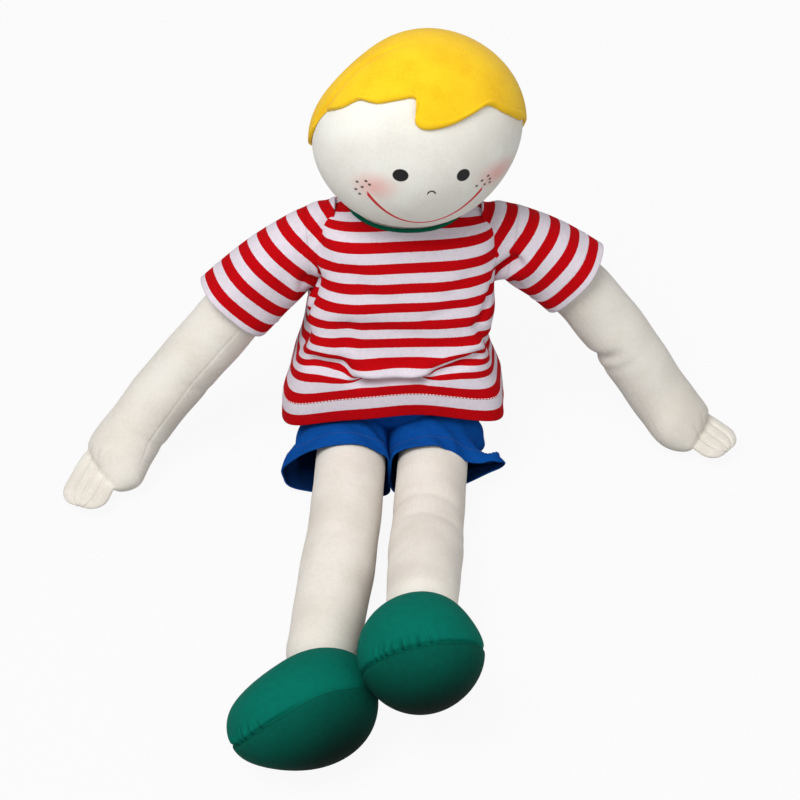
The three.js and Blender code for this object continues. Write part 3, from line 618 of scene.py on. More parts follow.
# Panel: directions swept from an edge curve to the parting, the wall inside first and the outside back;
# the lift is a quarter round at the edge, and the fringe tucks under the back panel
def hairPanel(name, edge, fringe):
    count, columns = hair["count"], hair["across"]
    shares = np.linspace(0, 1, count)
    edgeWays = unit(curveThrough(heading(*np.array(edge, float).T), shares))
    ways = partingLine(count)
    wide = np.arccos(np.clip(np.sum(edgeWays * ways, 1), -1, 1))[:, None] * hair["radius"]
    across = crowded(columns)
    loop = np.concatenate([across[::-1], across[1:], across[-1:]])
    outer = np.concatenate([np.zeros(columns), np.ones(columns - 1), [0]])
    past = loop * (1 + np.minimum(hair["tuckUnder"] / np.maximum(wide, 1e-3), hair["tuckMost"]) * fringe)
    field = unit(edgeWays[:, None] * (1 - past)[..., None] + ways[:, None] * past[..., None])
    fromEdge, fromSeam = wide * past, wide * (1 - past)
    lift = hair["thick"] * roundEnd(fromEdge, hair["edge"]) + hair["roll"] * bell(fromEdge, *hair["rollAt"]) * fringe
    lined = ease(np.abs(shares - hair["lockAt"]), *hair["lockFade"])[:, None] * fringe
    lift = lift - hair["line"] * bell(fromEdge, *hair["lineAt"]) * lined
    dent = hair["seamDent"] * ease(shares, *hair["seamFade"])[:, None]
    lift = lift * (1 - dent * bell(fromSeam, 0, hair["seamWide"])) * np.minimum(1, wide / hair["fullWide"])
    lift = lift - hair["tuckDrop"] * ease(-fromSeam, *hair["dropFade"]) * fringe
    temple = ease(shares, *hair["templeFade"])[:, None] * ease(fromEdge, *hair["templeReach"])
    lift = lift * (1 - hair["templeThin"] * (1 - fringe) * temple)
    skin = headSkin(field, hair["inside"] + np.where(outer > 0, np.maximum(lift, 0), 0))
    return makePiece(name, [closed(onHead(skin))], hairFelt)


hairFront = hairPanel("hairFringe", hair["fringe"], 1)
hairBack = hairPanel("hairBack", hair["nape"], 0)
sewOn(hairFront, "head", "yellow_felt", "hair_front")
sewOn(hairBack, "head", "yellow_felt", "hair_back")
print("doll: hair sewn on")

# Torso: squared ovals through stations of half width, half depth and height, with a gathered top
torso = dict(stations=[(38, 24, -25), (56, 42, 12), (53, 42, 68), (53, 36, 118), (51, 29, 144), (44, 20, 159)],
             rows=60, squareness=2.4, seatFrom=12, seatTo=-25, seatBack=14, shrink=0.6, lowest=2.4,
             gather=0.35, gathers=9, gatherAt=(158, 9))


def bodyLoft(stations, rows, grow):
    x, y, z = curveThrough(stations, np.linspace(0, 1, rows)).T[..., None]
    ring = squaredOval(allAround, torso["squareness"])
    shift = torso["seatBack"] * np.clip((torso["seatFrom"] - z) / (torso["seatFrom"] - torso["seatTo"]), 0, 1)
    return np.stack([(x + grow) * ring[0], (y + grow) * ring[1] + shift, z + 0 * allAround], -1)


# End rows drawn in to a pole
def closedEnds(points, both=True):
    low, high = (np.broadcast_to(points[k].mean(axis=0), points[k].shape) for k in (0, -1))
    closing = [[points[-1] * 0.6 + high * 0.4], [high]] if both else []
    return np.concatenate([[low], [points[0] * 0.6 + low * 0.4], points, *closing])


body = closedEnds(bodyLoft(torso["stations"], torso["rows"], -torso["shrink"]))
body[..., 2] += torso["gather"] * np.cos(torso["gathers"] * allAround) * bell(body[..., 2], *torso["gatherAt"])
body = onBody(body)
body[..., 2] = np.maximum(body[..., 2], torso["lowest"])
sewOn(makePiece("stuffedBody", [closed(body)], skinCloth), "torso", "ivory_knit", "torso", fill=0.85)

# Neck: a short gathered tube towards the head
neck = dict(low=(0.5, -3, 156), radius=18, wide=1.2, below=6, length=24, rows=40, bulge=0.07, bulgeLong=9, gathers=14,
            gatherDepth=0.7)
neckLow = onBody(neck["low"])
neckWay = unit(headAt - neckLow)
neckSide = unit(np.cross(neckWay, [0, 1.0, 0]))
along = np.linspace(-neck["below"], neck["length"], neck["rows"])[:, None]
reach = neck["radius"] * (1 - neck["bulge"] * (1 - np.cos(along / neck["bulgeLong"])))
reach = reach + neck["gatherDepth"] * np.cos(neck["gathers"] * allAround)
tube = rings(neckLow + along * neckWay, neckSide, np.cross(neckSide, neckWay), reach * neck["wide"], reach, allAround)
sewOn(makePiece("stuffedNeck", [closed(closedEnds(tube))], skinCloth), "neck", "ivory_knit", "neck", fill=0.8)
print("doll: body and neck stuffed")

# Arms: a stuffed tube whose palm ends on a slant, in a thumb on the inner side and a sewn paddle of fingers;
# a crease is its share of the length, its width in shares, its depth and its angle around
arms = dict(
    joint=(59, 0, 138), fingerRadius=5.6, droop=8, rows=240, columns=193, inSleeve=(12, 26, 56),
    sizes=[(12, 12), (21.5, 21.5), (22, 22.5), (22, 21), (19.5, 17.5)], sizeGap=8.0, rootRound=12, tipRound=13,
    palmRound=26, palmShare=0.6, palmFull=2.3, thumbLong=22, thumbThick=0.25, paddle=(17, 4.6), offset=4.5,
    fingerLines=(-0.5, 0.0, 0.5), lineWide=0.07, lineDeep=0.36, notchLong=5, seamDeep=0.32, seamWide=0.045,
    lineEnd=(0.5, 4), lineFade=(4, -5), creaseFade=(0.1, 0.95), lump=0.45, lumpFade=(-12, 14),
    offsetFade=(8, -26), tipLeast=0.3, steady=26, lowest=0.3,
    right=dict(bend=(-108.5, 8, 118), wrist=(-200, -41, 19), handTurn=-68, handLength=54, palmEnd=60,
               slant=20.5, thumbOut=11.5, stitchReach=44, seamAt=2.93,
               creases=[(0.52, 0.012, 0.6, 3.6), (0.72, 0.012, 0.8, 3.6)]),
    left=dict(bend=(121.5, 21, 123), wrist=(202, -8, 18.5), handTurn=-44, handLength=44, palmEnd=46,
              slant=9, thumbOut=6, stitchReach=32, seamAt=-0.75,
              creases=[(0.50, 0.02, 3.0, -0.9), (0.55, 0.018, 0.8, -0.5)]))
gather = dict(radius=8.6, pleat=0.4, pleats=16)
armPlans = {}


def armPlan(side):
    own, outward = arms[side], outwards[side]
    joint = onBody(np.array(arms["joint"]) * [outward, 1, 1])
    handTurn = np.radians(own["handTurn"])
    hand = unit(np.array([outward * np.cos(handTurn), np.sin(handTurn), -np.tan(np.radians(arms["droop"]))]))
    wrist = np.array(own["wrist"], float)
    tip = wrist + hand * (own["handLength"] - arms["fingerRadius"])
    return dict(joint=joint, hand=hand, path=[joint, np.array(own["bend"], float), wrist, tip])


def makeArm(side):
    own, outward, plan = arms[side], outwards[side], armPlan(side)
    armPlans[side] = plan
    shares = crowded(arms["rows"], start=0.02)
    path, length = pointsAlong(plan["path"], shares)
    spaced = np.column_stack([arms["sizes"], arms["sizeGap"] * np.arange(len(arms["sizes"]))])
    sizes = curveThrough(spaced, shares)
    shares = shares[:, None]
    run, left = shares * length, (1 - shares) * length
    slim, slimTo, fullFrom = arms["inSleeve"]
    sizes = between(slim, sizes, ease(run, slimTo, fullFrom))
    ring = np.linspace(0, wholeTurn, arms["columns"])
    inward = np.cos(ring) * outward
    rootRound, tipRound = roundEnd(run, arms["rootRound"]), roundEnd(left, arms["tipRound"])
    # the palm swells to the full size beyond its end, with the thumb on top of it
    palmEnd = own["palmEnd"] - own["slant"] * (0.5 + 0.5 * inward)
    palm = np.clip((left - palmEnd) / arms["palmRound"] + arms["palmShare"], 0, 1)
    palm = (1 - (1 - palm) ** arms["palmFull"]) ** (1 / arms["palmFull"])
    thumb = own["thumbOut"] * np.maximum(inward, 0) * bell(left, palmEnd - 1, arms["thumbLong"])
    flatWide, flatThick = arms["paddle"]
    wide = between(flatWide, sizes[:, :1] + thumb, palm) * rootRound * between(arms["tipLeast"], 1, tipRound)
    thick = between(flatThick, sizes[:, 1:2] + arms["thumbThick"] * thumb, palm) * rootRound * tipRound
    wide[-1] = thick[-1] = 0
    # stitched lines between the fingers, then creases, the seam and uneven stuffing
    lines = sum(bell(np.cos(ring), spot, arms["lineWide"]) for spot in arms["fingerLines"])
    fingers = ease(left - own["stitchReach"], *arms["lineFade"]) * (1 - palm)
    thin = 1 - arms["lineDeep"] * fingers * lines * ease(left, *arms["lineEnd"])
    crease = sum(depth * bell(shares, spot, width) * ease(np.cos(ring - at), *arms["creaseFade"])
                 for spot, width, depth, at in own["creases"])
    crease = crease + arms["seamDeep"] * bell(apart(ring, own["seamAt"], wholeTurn), 0, arms["seamWide"])
    lump = arms["lump"] * np.sin(shares * 31 + 2 * np.cos(ring)) * np.sin(2 * ring + shares * 9)
    swell = (lump - crease) * ease(left - own["palmEnd"], *arms["lumpFade"]) * rootRound
    inner = unit(np.cross(plan["hand"], [0, 0, 1.0])) * outward
    path = path - inner * (arms["offset"] * ease(left - own["palmEnd"], *arms["offsetFade"]))
    tube = tubeAlong(path, wide + swell, (thick + swell) * thin, ring, arms["steady"])
    tube = tube - plan["hand"] * (lines * bell(left, 0, arms["notchLong"]))[..., None]
    tube[-1] = tube[-1].mean(axis=0)
    tube[..., 2] = np.maximum(tube[..., 2], arms["lowest"])
    sewOn(makePiece(f"arm.{side}", [closed(tube)], skinCloth), f"arm_{side}", "ivory_knit", f"arm_{side}", fill=0.85)
    around = np.linspace(-180, 180, 49)
    ball = heading(*np.meshgrid(around, np.linspace(-90, 90, 25)))
    pleat = gather["radius"] + gather["pleat"] * np.cos(gather["pleats"] * np.radians(around))[None, :, None]
    sewOn(makePiece(f"shoulderGather.{side}", [closed(plan["joint"] + ball * pleat)], skinCloth), f"shoulder_{side}",
          "ivory_knit", f"shoulder_gather_{side}", fill=0.7)


for side in outwards:
    makeArm(side)
print("doll: arms stuffed")

# Legs: stuffed tubes with creases pressed in across them, given as for the arms
legs = dict(
    sizes=[24.2, 24.2, 24.8, 22.6], sizeAt=[0, 0.33, 0.66, 1], ends=(24.2, 24), rows=130, lowest=0.5,
    lump=0.4, lumpFade=(0.2, 0.4), creaseSkew=0.012, creaseFade=(-0.2, 0.9),
    right=dict(knee=(-38, -122, 32), ankle=(-50, -238, 42),
               creases=[(0.46, 0.012, 0.5, 1.4), (0.60, 0.01, 0.4, 1.9)]),
    left=dict(knee=(19, -118, 33.5), ankle=(14, -220, 68),
              creases=[(0.50, 0.014, 1.1, 1.3), (0.60, 0.012, 0.8, 1.8), (0.40, 0.01, 0.4, 1.5)]))


def makeLeg(side):
    own = legs[side]
    hip, knee, ankle = (np.array(p, float) for p in (posture["hips"][side], own["knee"], own["ankle"]))
    thighEnd, ankleEnd = legs["ends"]
    start, end = hip - unit(knee - hip) * thighEnd, ankle + unit(ankle - knee) * ankleEnd
    shares = crowded(legs["rows"])
    path, length = pointsAlong([start, hip, knee, ankle, end], shares)
    shares = shares[:, None]
    size = np.interp(shares, legs["sizeAt"], legs["sizes"])
    ends = roundEnd(shares * length, thighEnd) * roundEnd((1 - shares) * length, ankleEnd)
    skewed = shares + legs["creaseSkew"] * np.cos(allAround)
    crease = sum(depth * bell(skewed, spot, width) * ease(np.cos(allAround - at), *legs["creaseFade"])
                 for spot, width, depth, at in own["creases"])
    lump = legs["lump"] * np.sin(shares * 27 + 2 * np.sin(allAround)) * np.sin(2 * allAround + shares * 8)
    swell = (size + (lump - crease) * ease(shares, *legs["lumpFade"])) * ends
    tube = tubeAlong(path, swell, swell, allAround)
    tube[..., 2] = np.maximum(tube[..., 2], legs["lowest"])
    sewOn(makePiece(f"leg.{side}", [closed(tube)], skinCloth), f"leg_{side}", "ivory_knit", f"leg_{side}", fill=0.85)


for side in outwards:
    makeLeg(side)

# Shoes: a bean by direction, drawn in along the seam, gathered above it towards the toe, and pressed where the foot
# lies; the seam is its height in degrees by degrees from the toe, a pucker its place and depth
shoes = dict(
    half=(40, 51, 37), columns=481, upperRows=60, soleRows=44, crowding=1.5, thick=1.5, lowest=0.3,
    heelTaper=0.16, heelDrop=0.08, seamDeep=2.3, seamWide=1.7, seamLeast=0.27, seamNear=(95, 50), smooth=45,
    seamScale=0.7, gather=1.4, gatherWide=1.1, gatherLean=0.06, puff=0.5, puffAt=3.6, puffWide=2.2,
    upperShown=(1, 10, 1.2), soleShown=(0.25, 7, 1),
    right=dict(at=(-61, -282, 39.2), heading=55, rise=-3, roll=51,
               presses=[((-0.1, -0.7, -0.7), 5, 38), ((0.75, -0.47, -0.47), -6, 30),
                        ((-0.66, 0.53, 0.53), 5.5, 27)],
               seam=[(0, 2), (8, 3), (49, 10), (82, 12), (101, 9), (125, -4), (162, -14), (180, -16)],
               puckers=[(-96, 1.8), (-89, 1.2), (-84, 2.0), (-76, 1.5), (-70, 2.1), (-61, 1.4), (-50, 0.9)]),
    left=dict(at=(14, -258, 68), heading=-5, rise=52, roll=-16,
              presses=[((0.8, 0.42, 0.42), 3.5, 34), ((0.0, -0.7, -0.7), -3, 45)],
              seam=[(0, 2), (15, 2), (37, -2), (70, -10), (110, -14), (180, -16)],
              puckers=[(-131, 1.6), (-124, 1.2), (-119, 2.1), (-112, 1.5), (-103, 2.0), (-97, 1.1),
                       (-89, 1.8), (-78, 1.0)]))


def makeShoe(side):
    own, outward = shoes[side], outwards[side]
    footTurn = turn("z", outward * own["heading"]) @ turn("x", -own["rise"]) @ turn("y", outward * own["roll"])
    around = np.linspace(-180, 180, shoes["columns"])
    half = np.array(shoes["half"])
    fromToe = np.abs(apart(around, -90))
    seamAt = np.interp(fromToe, *np.array(own["seam"], float).T)
    window = np.hanning(shoes["smooth"])
    margin = shoes["smooth"] // 2 + 2
    looped = np.concatenate([seamAt[-margin - 1:-1], seamAt, seamAt[1:margin + 1]])
    seamAt = np.convolve(looped, window / window.sum(), "same")[margin:-margin]

    def shell(low, high, rows, isUpper):
        share = np.linspace(0, 1, rows)[:, None]
        share = share ** shoes["crowding"] if isUpper else 1 - (1 - share) ** shoes["crowding"]
        lift = between(low, high, share)
        ways = heading(around + 90, lift)
        fromSeam = np.abs(lift - seamAt) * shoes["seamScale"]
        nearToe = between(shoes["seamLeast"], 1, ease(fromToe, *shoes["seamNear"]))
        drawn = shoes["seamDeep"] * nearToe * bell(fromSeam, 0, shoes["seamWide"])
        gathered = 0
        for spot, deep in own["puckers"]:
            leaning = around + shoes["gatherLean"] * fromSeam * (spot % 7 - 3)
            gathered = gathered + deep * (shoes["gather"] * bell(apart(leaning, spot), 0, shoes["gatherWide"])
                                          - shoes["puff"] * bell(apart(around, spot + shoes["puffAt"]), 0,
                                                                 shoes["puffWide"]))
        share, *fade = shoes["upperShown" if isUpper else "soleShown"]
        gathered = gathered * share * ease(fromSeam, *fade)
        normals = unit(ways / half)
        press = sum(deep * bell(degreesFrom(normals @ footTurn.T, way), 0, wide) for way, deep, wide in own["presses"])
        skin = ways * half - normals * (drawn + gathered + press)[..., None]
        back = skin[..., 1:2] / half[1]
        skin = skin * np.concatenate([1 - shoes["heelTaper"] * back, np.ones_like(back),
                                      1 - shoes["heelDrop"] * back], -1)
        skin = skin @ footTurn.T + np.array(own["at"])
        skin[..., 2] = np.maximum(skin[..., 2], shoes["lowest"])
        return skin

    upper = surface(shell(seamAt, 90, shoes["upperRows"], True), around=True, poleEnd=True)
    sole = surface(shell(-90, seamAt, shoes["soleRows"], False), around=True, poleStart=True)
    sewOn(makePiece(f"shoeUpper.{side}", [upper], shoeCotton, shoes["thick"]), f"leg_{side}", "green_cotton",
          f"shoe_upper_{side}", f"foot_filling_{side}", fill=0.9)
    sewOn(makePiece(f"shoeSole.{side}", [sole], soleCottonShaded, shoes["thick"]), f"leg_{side}", "dark_green_cotton",
          f"shoe_sole_{side}", fill=0.9)


for side in outwards:
    makeShoe(side)
print("doll: legs and shoes stuffed")

# Shirt: a loose tube on the body's axis, square at the hem, tucked on the lap, pinched at the sides; a station is
# a half width, half depth and level; a fold is a line of degrees around and levels, with its depth and width
shirt = dict(
    stations=[(77.5, 53.5, 12.5), (75.5, 54, 34), (67.5, 53, 56), (62, 48.5, 76), (61, 43.5, 118),
              (60, 36, 146), (57, 31.5, 156.5), (39, 25, 164)],
    shifts=[-4.5, -6, -6.5, -4, -0.5, 0.5, 0.5, -1.5], rows=176, columns=277, thick=1.5, hem=12.5, chest=118,
    hemSquareness=6.5, bodySquareness=3.6, neckSquareness=2.2, backNarrow=0.13, hemTilt=15, hemSlant=0.07,
    cornerDrop=11, waves=7, waveDepth=1.4, waveReach=0.6, neckFrom=148, neckFront=157.5, neckBack=164,
    narrowFade=(-0.4, 0.8), cornerFade=(0.62, 0.2), slantFade=(0.7, 0.2), foldOver=0.65,
    slope=0.085, slopeFade=(30, 120),
    stripesAt=[(12.5, 0), (18.3, 0.25), (38.5, 1.25), (63.7, 2.75), (79, 3.75), (94, 4.75), (110, 5.75),
               (124.5, 6.75), (138, 7.75), (150, 8.6), (170, 8.6)],
    tuckAt=268, tuckLevel=47.3, tuckRise=16, tuckFade=(14, 40), tuckSink=0.6, sinkFade=(40, 75), tucked=1.5,
    tuckReach=(1.2, 14.2), reachFade=(13, 32), yoke=150,
    folds=[([(253, 47.5), (284, 47)], 5.2, 3.0), ([(284, 47), (296, 56), (307, 63.5), (314, 66)], 3.6, 3.6),
           ([(253, 47.5), (238, 60), (226, 62)], 3.4, 4.2), ([(196, 66), (204, 72)], 5.5, 9),
           ([(344, 64), (338, 72)], 4.6, 9), ([(240, 62), (238, 90)], 2.4, 6),
           ([(333, 128), (314, 92), (319, 79), (328, 69)], 2.4, 3.4), ([(208, 124), (207, 84)], 4.0, 4.0),
           ([(200, 118), (195, 92)], 2.5, 4), ([(194, 90), (206, 79)], 3.0, 4.5),
           ([(252, 92), (280, 84)], 0.9, 6), ([(286, 100), (300, 110)], 0.8, 5),
           ([(236, 132), (250, 116)], 0.9, 5), ([(308, 132), (296, 120)], 0.9, 5),
           ([(150, 60), (30, 58)], 3.0, 7), ([(120, 100), (100, 76)], 1.2, 6), ([(70, 104), (84, 80)], 1.2, 6)],
    stitch=dict(rise=16.2, pitch=2.4, length=1.7, thick=0.36))


# Ring at a level: a squared oval plus hem waves less the folds; the hem drops at its corners and tilts
def shirtSkin(levels, angles, grow=0.0):
    x, y, z, shift = levels[..., None]
    rise = np.clip((z - shirt["hem"]) / (shirt["chest"] - shirt["hem"]), 0, 1)
    loose = np.maximum(0, 1 - rise / shirt["waveReach"])
    high = ease(z, shirt["neckFrom"], shirt["neckBack"])
    square = between(between(shirt["hemSquareness"], shirt["bodySquareness"], rise), shirt["neckSquareness"], high)
    ring = squaredOval(angles[None], square)
    front = np.maximum(0, -ring[1])
    wave = shirt["waveDepth"] * loose * np.cos(shirt["waves"] * angles)
    out = grow + wave - foldDepth(np.degrees(angles)[None], z, shirt["folds"], shirt["foldOver"], 360)
    narrow = 1 - shirt["backNarrow"] * loose * ease(ring[1], *shirt["narrowFade"])
    px, py = ring[0] * (x + out) * narrow + shift, ring[1] * (y + out)
    drop = (shirt["neckBack"] - shirt["neckFront"]) * high * front ** 2
    corner = shirt["cornerDrop"] * front * ring[0] ** 2 * ease(rise, *shirt["cornerFade"])
    tilt = shirt["hemSlant"] * px * ease(rise, *shirt["slantFade"]) - shirt["hemTilt"] * ring[1] * (1 - rise)
    return np.stack([px, py, z + tilt - (drop + corner)], -1)


# Stripes: counted by level, with some swallowed in the lap's tuck, which widens to the sides; over the
# shoulders the count goes on by the reach from the last level below at the same width
def shirtCloth(levels, angles, grid):
    x, y, z, _ = levels
    count = np.interp(z, *np.array(shirt["stripesAt"]).T)[:, None]
    aside = np.abs(apart(np.degrees(angles), shirt["tuckAt"]))[None]
    rise = ease(aside, *shirt["tuckFade"]) * (1 - shirt["tuckSink"] * ease(aside, *shirt["sinkFade"]))
    level = shirt["tuckLevel"] + shirt["tuckRise"] * rise
    reach = between(*shirt["tuckReach"], ease(aside, *shirt["reachFade"]))
    count = count + shirt["tucked"] * ease(z[:, None], level - reach, level + reach)
    k = np.argmin(np.abs(z - shirt["yoke"]))
    wide = np.clip(np.abs(grid[..., 0]) / x[k], 0, 1) ** shirt["bodySquareness"]
    edge = np.sign(grid[..., 1]) * y[k] * (1 - wide) ** (1 / shirt["bodySquareness"])
    above = np.maximum(grid[..., 2] - shirt["yoke"], 0)
    over = np.hypot(above, grid[..., 1] - edge) * (z > shirt["yoke"])[:, None]
    cloth = clothLengths(grid)
    slope = shirt["slope"] * grid[..., 0] * ease(z, *shirt["slopeFade"])[:, None]
    cloth[..., 1] = count * stripes["period"] / mm + over - slope
    return cloth


shirtAngles = np.linspace(0, wholeTurn, shirt["columns"])
levels = curveThrough(np.column_stack([shirt["stations"], shirt["shifts"]]), np.linspace(0, 1, shirt["rows"])).T
shirtGrid = shirtSkin(levels, shirtAngles)
shirtUv = shirtCloth(levels, shirtAngles, shirtGrid)
shirtGrid = onBody(shirtGrid)
shirtBody = makePiece("shirtBody", [surface(shirtGrid, uv=shirtUv, around=True)], shirtKnit, shirt["thick"])
sewOn(shirtBody, "torso", "striped_knit", "shirt_front", "shirt_back")

# Binding: a soft ribbed roll along the neckline
binding = dict(radius=1.3, inside=0.9, tall=1.15, flat=0.05, ribs=150, ribDepth=0.14, columns=17)
edge = onBody(shirtSkin(levels[:, -1:], shirtAngles, -binding["inside"]))[0]
onward = unit(np.roll(edge[:-1], -1, 0) - np.roll(edge[:-1], 1, 0))
out = unit(np.cross(np.concatenate([onward, onward[:1]]), bodyUp))
ring = np.linspace(0, wholeTurn, binding["columns"])
size = binding["radius"] * (1 + binding["flat"] * np.cos(ring * 2))
size = size + binding["ribDepth"] * np.cos(binding["ribs"] * shirtAngles)[:, None]
roll = rings(edge + bodyUp * binding["inside"], out, bodyUp, size, size * binding["tall"], ring)
roll[-1] = roll[0]
neckBinding = makePiece("neckBinding", [surface(np.swapaxes(roll, 0, 1), around=True, looped=True)], bindingRib)
sewOn(neckBinding, "torso", "green_binding", "neck_binding")
shirtStitch = makePiece("shirtStitch", stitchLine(shirtGrid, faceWays(shirtGrid), **shirt["stitch"], cloth=shirtUv),
                        whiteThread)
sewOn(shirtStitch, "torso", "striped_knit")
print("doll: shirt hung")

# Sleeves: tubes from the armhole to the cuff, each in two lengths; a fold is a line of lengths around and along,
# with its depth and width
sleeves = dict(
    holeAcross=23, cuffHalf=(28, 30.5), thick=1.5, rows=91, columns=145, root=20, bend=22, lean=28, tuckIn=10,
    around=27, foldOver=0.4, swell=1.6, swellAt=(0.16, 0.07), ripple=0.7,
    rippleFade=(0.2, 1), riseFade=(0, 0.35), sink=0.35, sinkFade=(0.5, 1), tuckRound=(-0.2, 0.4),
    tuckFade=(0.12, 0),
    stitch=dict(rise=13.5, pitch=2.4, length=1.7, thick=0.32),
    right=dict(length=79, hole=(50, 3, 136), holeUp=29, rise=7,
               folds=[([(120, 2), (102, 13), (92, 26)], 4.0, 4.0), ([(112, 20), (100, 34)], 1.8, 4.0),
                      ([(60, 4), (70, 20)], 1.2, 4.0)]),
    left=dict(length=63, hole=(50, 3, 139), holeUp=25, rise=7,
              folds=[([(-28, 1), (-13, 11), (3, 23)], 5.5, 3.6), ([(-32, 14), (-18, 30)], 2.2, 4.0),
                     ([(24, 4), (16, 20)], 1.2, 4.0)]))


def makeSleeve(side):
    own, outward, plan = sleeves[side], outwards[side], armPlans[side]
    hole = onBody(np.array(own["hole"]) * [outward, 1, 1])
    way = np.linspace(0, 1, sleeves["rows"])
    share = own["length"] / pointsAlong(plan["path"], [0, 1])[1]
    path = pointsAlong(plan["path"], share * way)[0] + (hole - plan["joint"]) * (1 - way)[:, None]
    ends = pointsAlong(plan["path"], [share - 0.01, share + 0.01])[0]
    tangent = unit(ends[1] - ends[0])
    cuffAcross = unit(np.cross(tangent, [0, 0, 1.0]))
    way = way[:, None]
    bend = ease(way, 0, 1)
    across = unit(bodyTurn @ np.array([0, -outward, 0.0]) * (1 - bend) + cuffAcross * bend)
    up = unit(bodyUp * (1 - bend) + np.cross(cuffAcross, tangent) * bend)
    sink = 1 - sleeves["sink"] * ease(way, *sleeves["sinkFade"])
    path = path + up * (own["rise"] * ease(way, *sleeves["riseFade"]) * sink)
    angle = np.linspace(0, wholeTurn, sleeves["columns"])
    halfAcross = between(sleeves["holeAcross"], sleeves["cuffHalf"][0], way)
    halfUp = between(own["holeUp"], sleeves["cuffHalf"][1], way)
    fold = foldDepth(angle[None] * sleeves["around"], way * own["length"], own["folds"], sleeves["foldOver"],
                     wholeTurn * sleeves["around"])
    ripple = sleeves["ripple"] * np.sin(5 * angle + 4 * way) * ease(way, *sleeves["rippleFade"])
    out = ripple + sleeves["swell"] * bell(way, *sleeves["swellAt"]) - fold
    grid = rings(path, across, up, halfAcross + out, halfUp + out, angle)
    # the lower half of the root starts deeper in the shirt, so that the armpit stays shut when the arm is raised
    lean = np.radians(sleeves["lean"])
    lean = bodyTurn @ np.array([outward * np.cos(lean), 0, np.sin(lean)])
    lowest = (grid[0] @ lean).min()
    deeper = sleeves["tuckIn"] * ease(-np.sin(angle), *sleeves["tuckRound"]) * ease(way, *sleeves["tuckFade"])
    grid = grid - bodyTurn[:, 0] * outward * deeper[..., None]
    uv = clothLengths(grid[::-1])[::-1]
    cut = int(sleeves["root"] / own["length"] * (sleeves["rows"] - 1))
    root, cuff = (makePiece(f"{name}.{side}", [surface(grid[rows], uv=uv[rows], around=True)], sleeveKnit,
                            sleeves["thick"])
                  for name, rows in (("sleeveTop", slice(cut + 1)), ("sleeveCuff", slice(cut, None))))
    stitch = makePiece(f"cuffStitch.{side}", stitchLine(grid[::-1], faceWays(grid)[::-1], **sleeves["stitch"]),
                       whiteThread)
    inMetres(lean * lowest)
    inMetres(lean * (grid[cut] @ lean).min())
    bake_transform(root)
    onward = unit(np.cross(across[cut], up[cut]))
    onward = onward * np.sign(onward @ (path[-1] - path[0]))
    inMetres(path[cut] + onward * sleeves["bend"])
    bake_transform(cuff)
    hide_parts(f"sleeve_{side}")
    sewOn(stitch, f"arm_{side}", "striped_knit")
    sleeves["root"] * mm
    (own["length"] - sleeves["root"]) * mm


for side in outwards:
    makeSleeve(side)
print("doll: sleeves set in")

# Shorts: a seat round the body, and on each thigh a leg of cloth, a dome round the hip and then a tube to its hem;
# a dent is its depth, its column and spread, its row and height, in shares
shorts = dict(
    thick=1.2, lowest=0.5, seat=[(38, 25, -27), (56, 42, 12), (53, 41.6, 62)], seatRows=50, seatGrow=1.8,
    seatLowest=0.9, seam=-7.5, seamHalf=0.6, dome=27.2, domeRings=6, columns=129, thighAt=-34, thighHalf=29,
    spans=[(0, 0.5, 24), (0.5, 0.75, 40), (0.75, 1, 50)], wrinkle=1.1, wrinkleFade=(0.45, 0.7), seamFade=(0.5, 0.42),
    overDent=(0.095, 0.5),
    stitch=dict(rise=9, pitch=2.6, length=1.9, thick=0.3),
    right=dict(wide=40, dent=(3, 0.5, 0.1, 0.86, 0.06),
               hem=[(-6.9, -66, 21), (-10, -66, 45), (-33, -66, 57.5), (-56, -64, 50), (-81.5, -60, 26),
                    (-79, -60, 9), (-62, -61, 1.2), (-30, -62, 0.8), (-10, -64, 2), (-6.9, -66, 21)]),
    left=dict(wide=33, dent=(11, 0.52, 0.1, 0.86, 0.05),
              hem=[(-8.1, -66, 21), (-4, -66, 45), (20, -68, 57.5), (34, -67, 52), (45.5, -66, 40),
                   (57, -64, 34), (69, -61, 31.5), (73.5, -57, 27), (64, -57, 18.5), (32, -61, 2),
                   (-2, -64, 2), (-8.1, -66, 21)]))

seat = onBody(closedEnds(bodyLoft(shorts["seat"], shorts["seatRows"], shorts["seatGrow"]), both=False))
seat[..., 2] = np.maximum(seat[..., 2], shorts["seatLowest"])
shortsSeat = makePiece("shortsSeat", [surface(seat, around=True, poleStart=True)], blueCotton, shorts["thick"])
sewOn(shortsSeat, "torso", "blue_cotton", "shorts_right", "shorts_left")


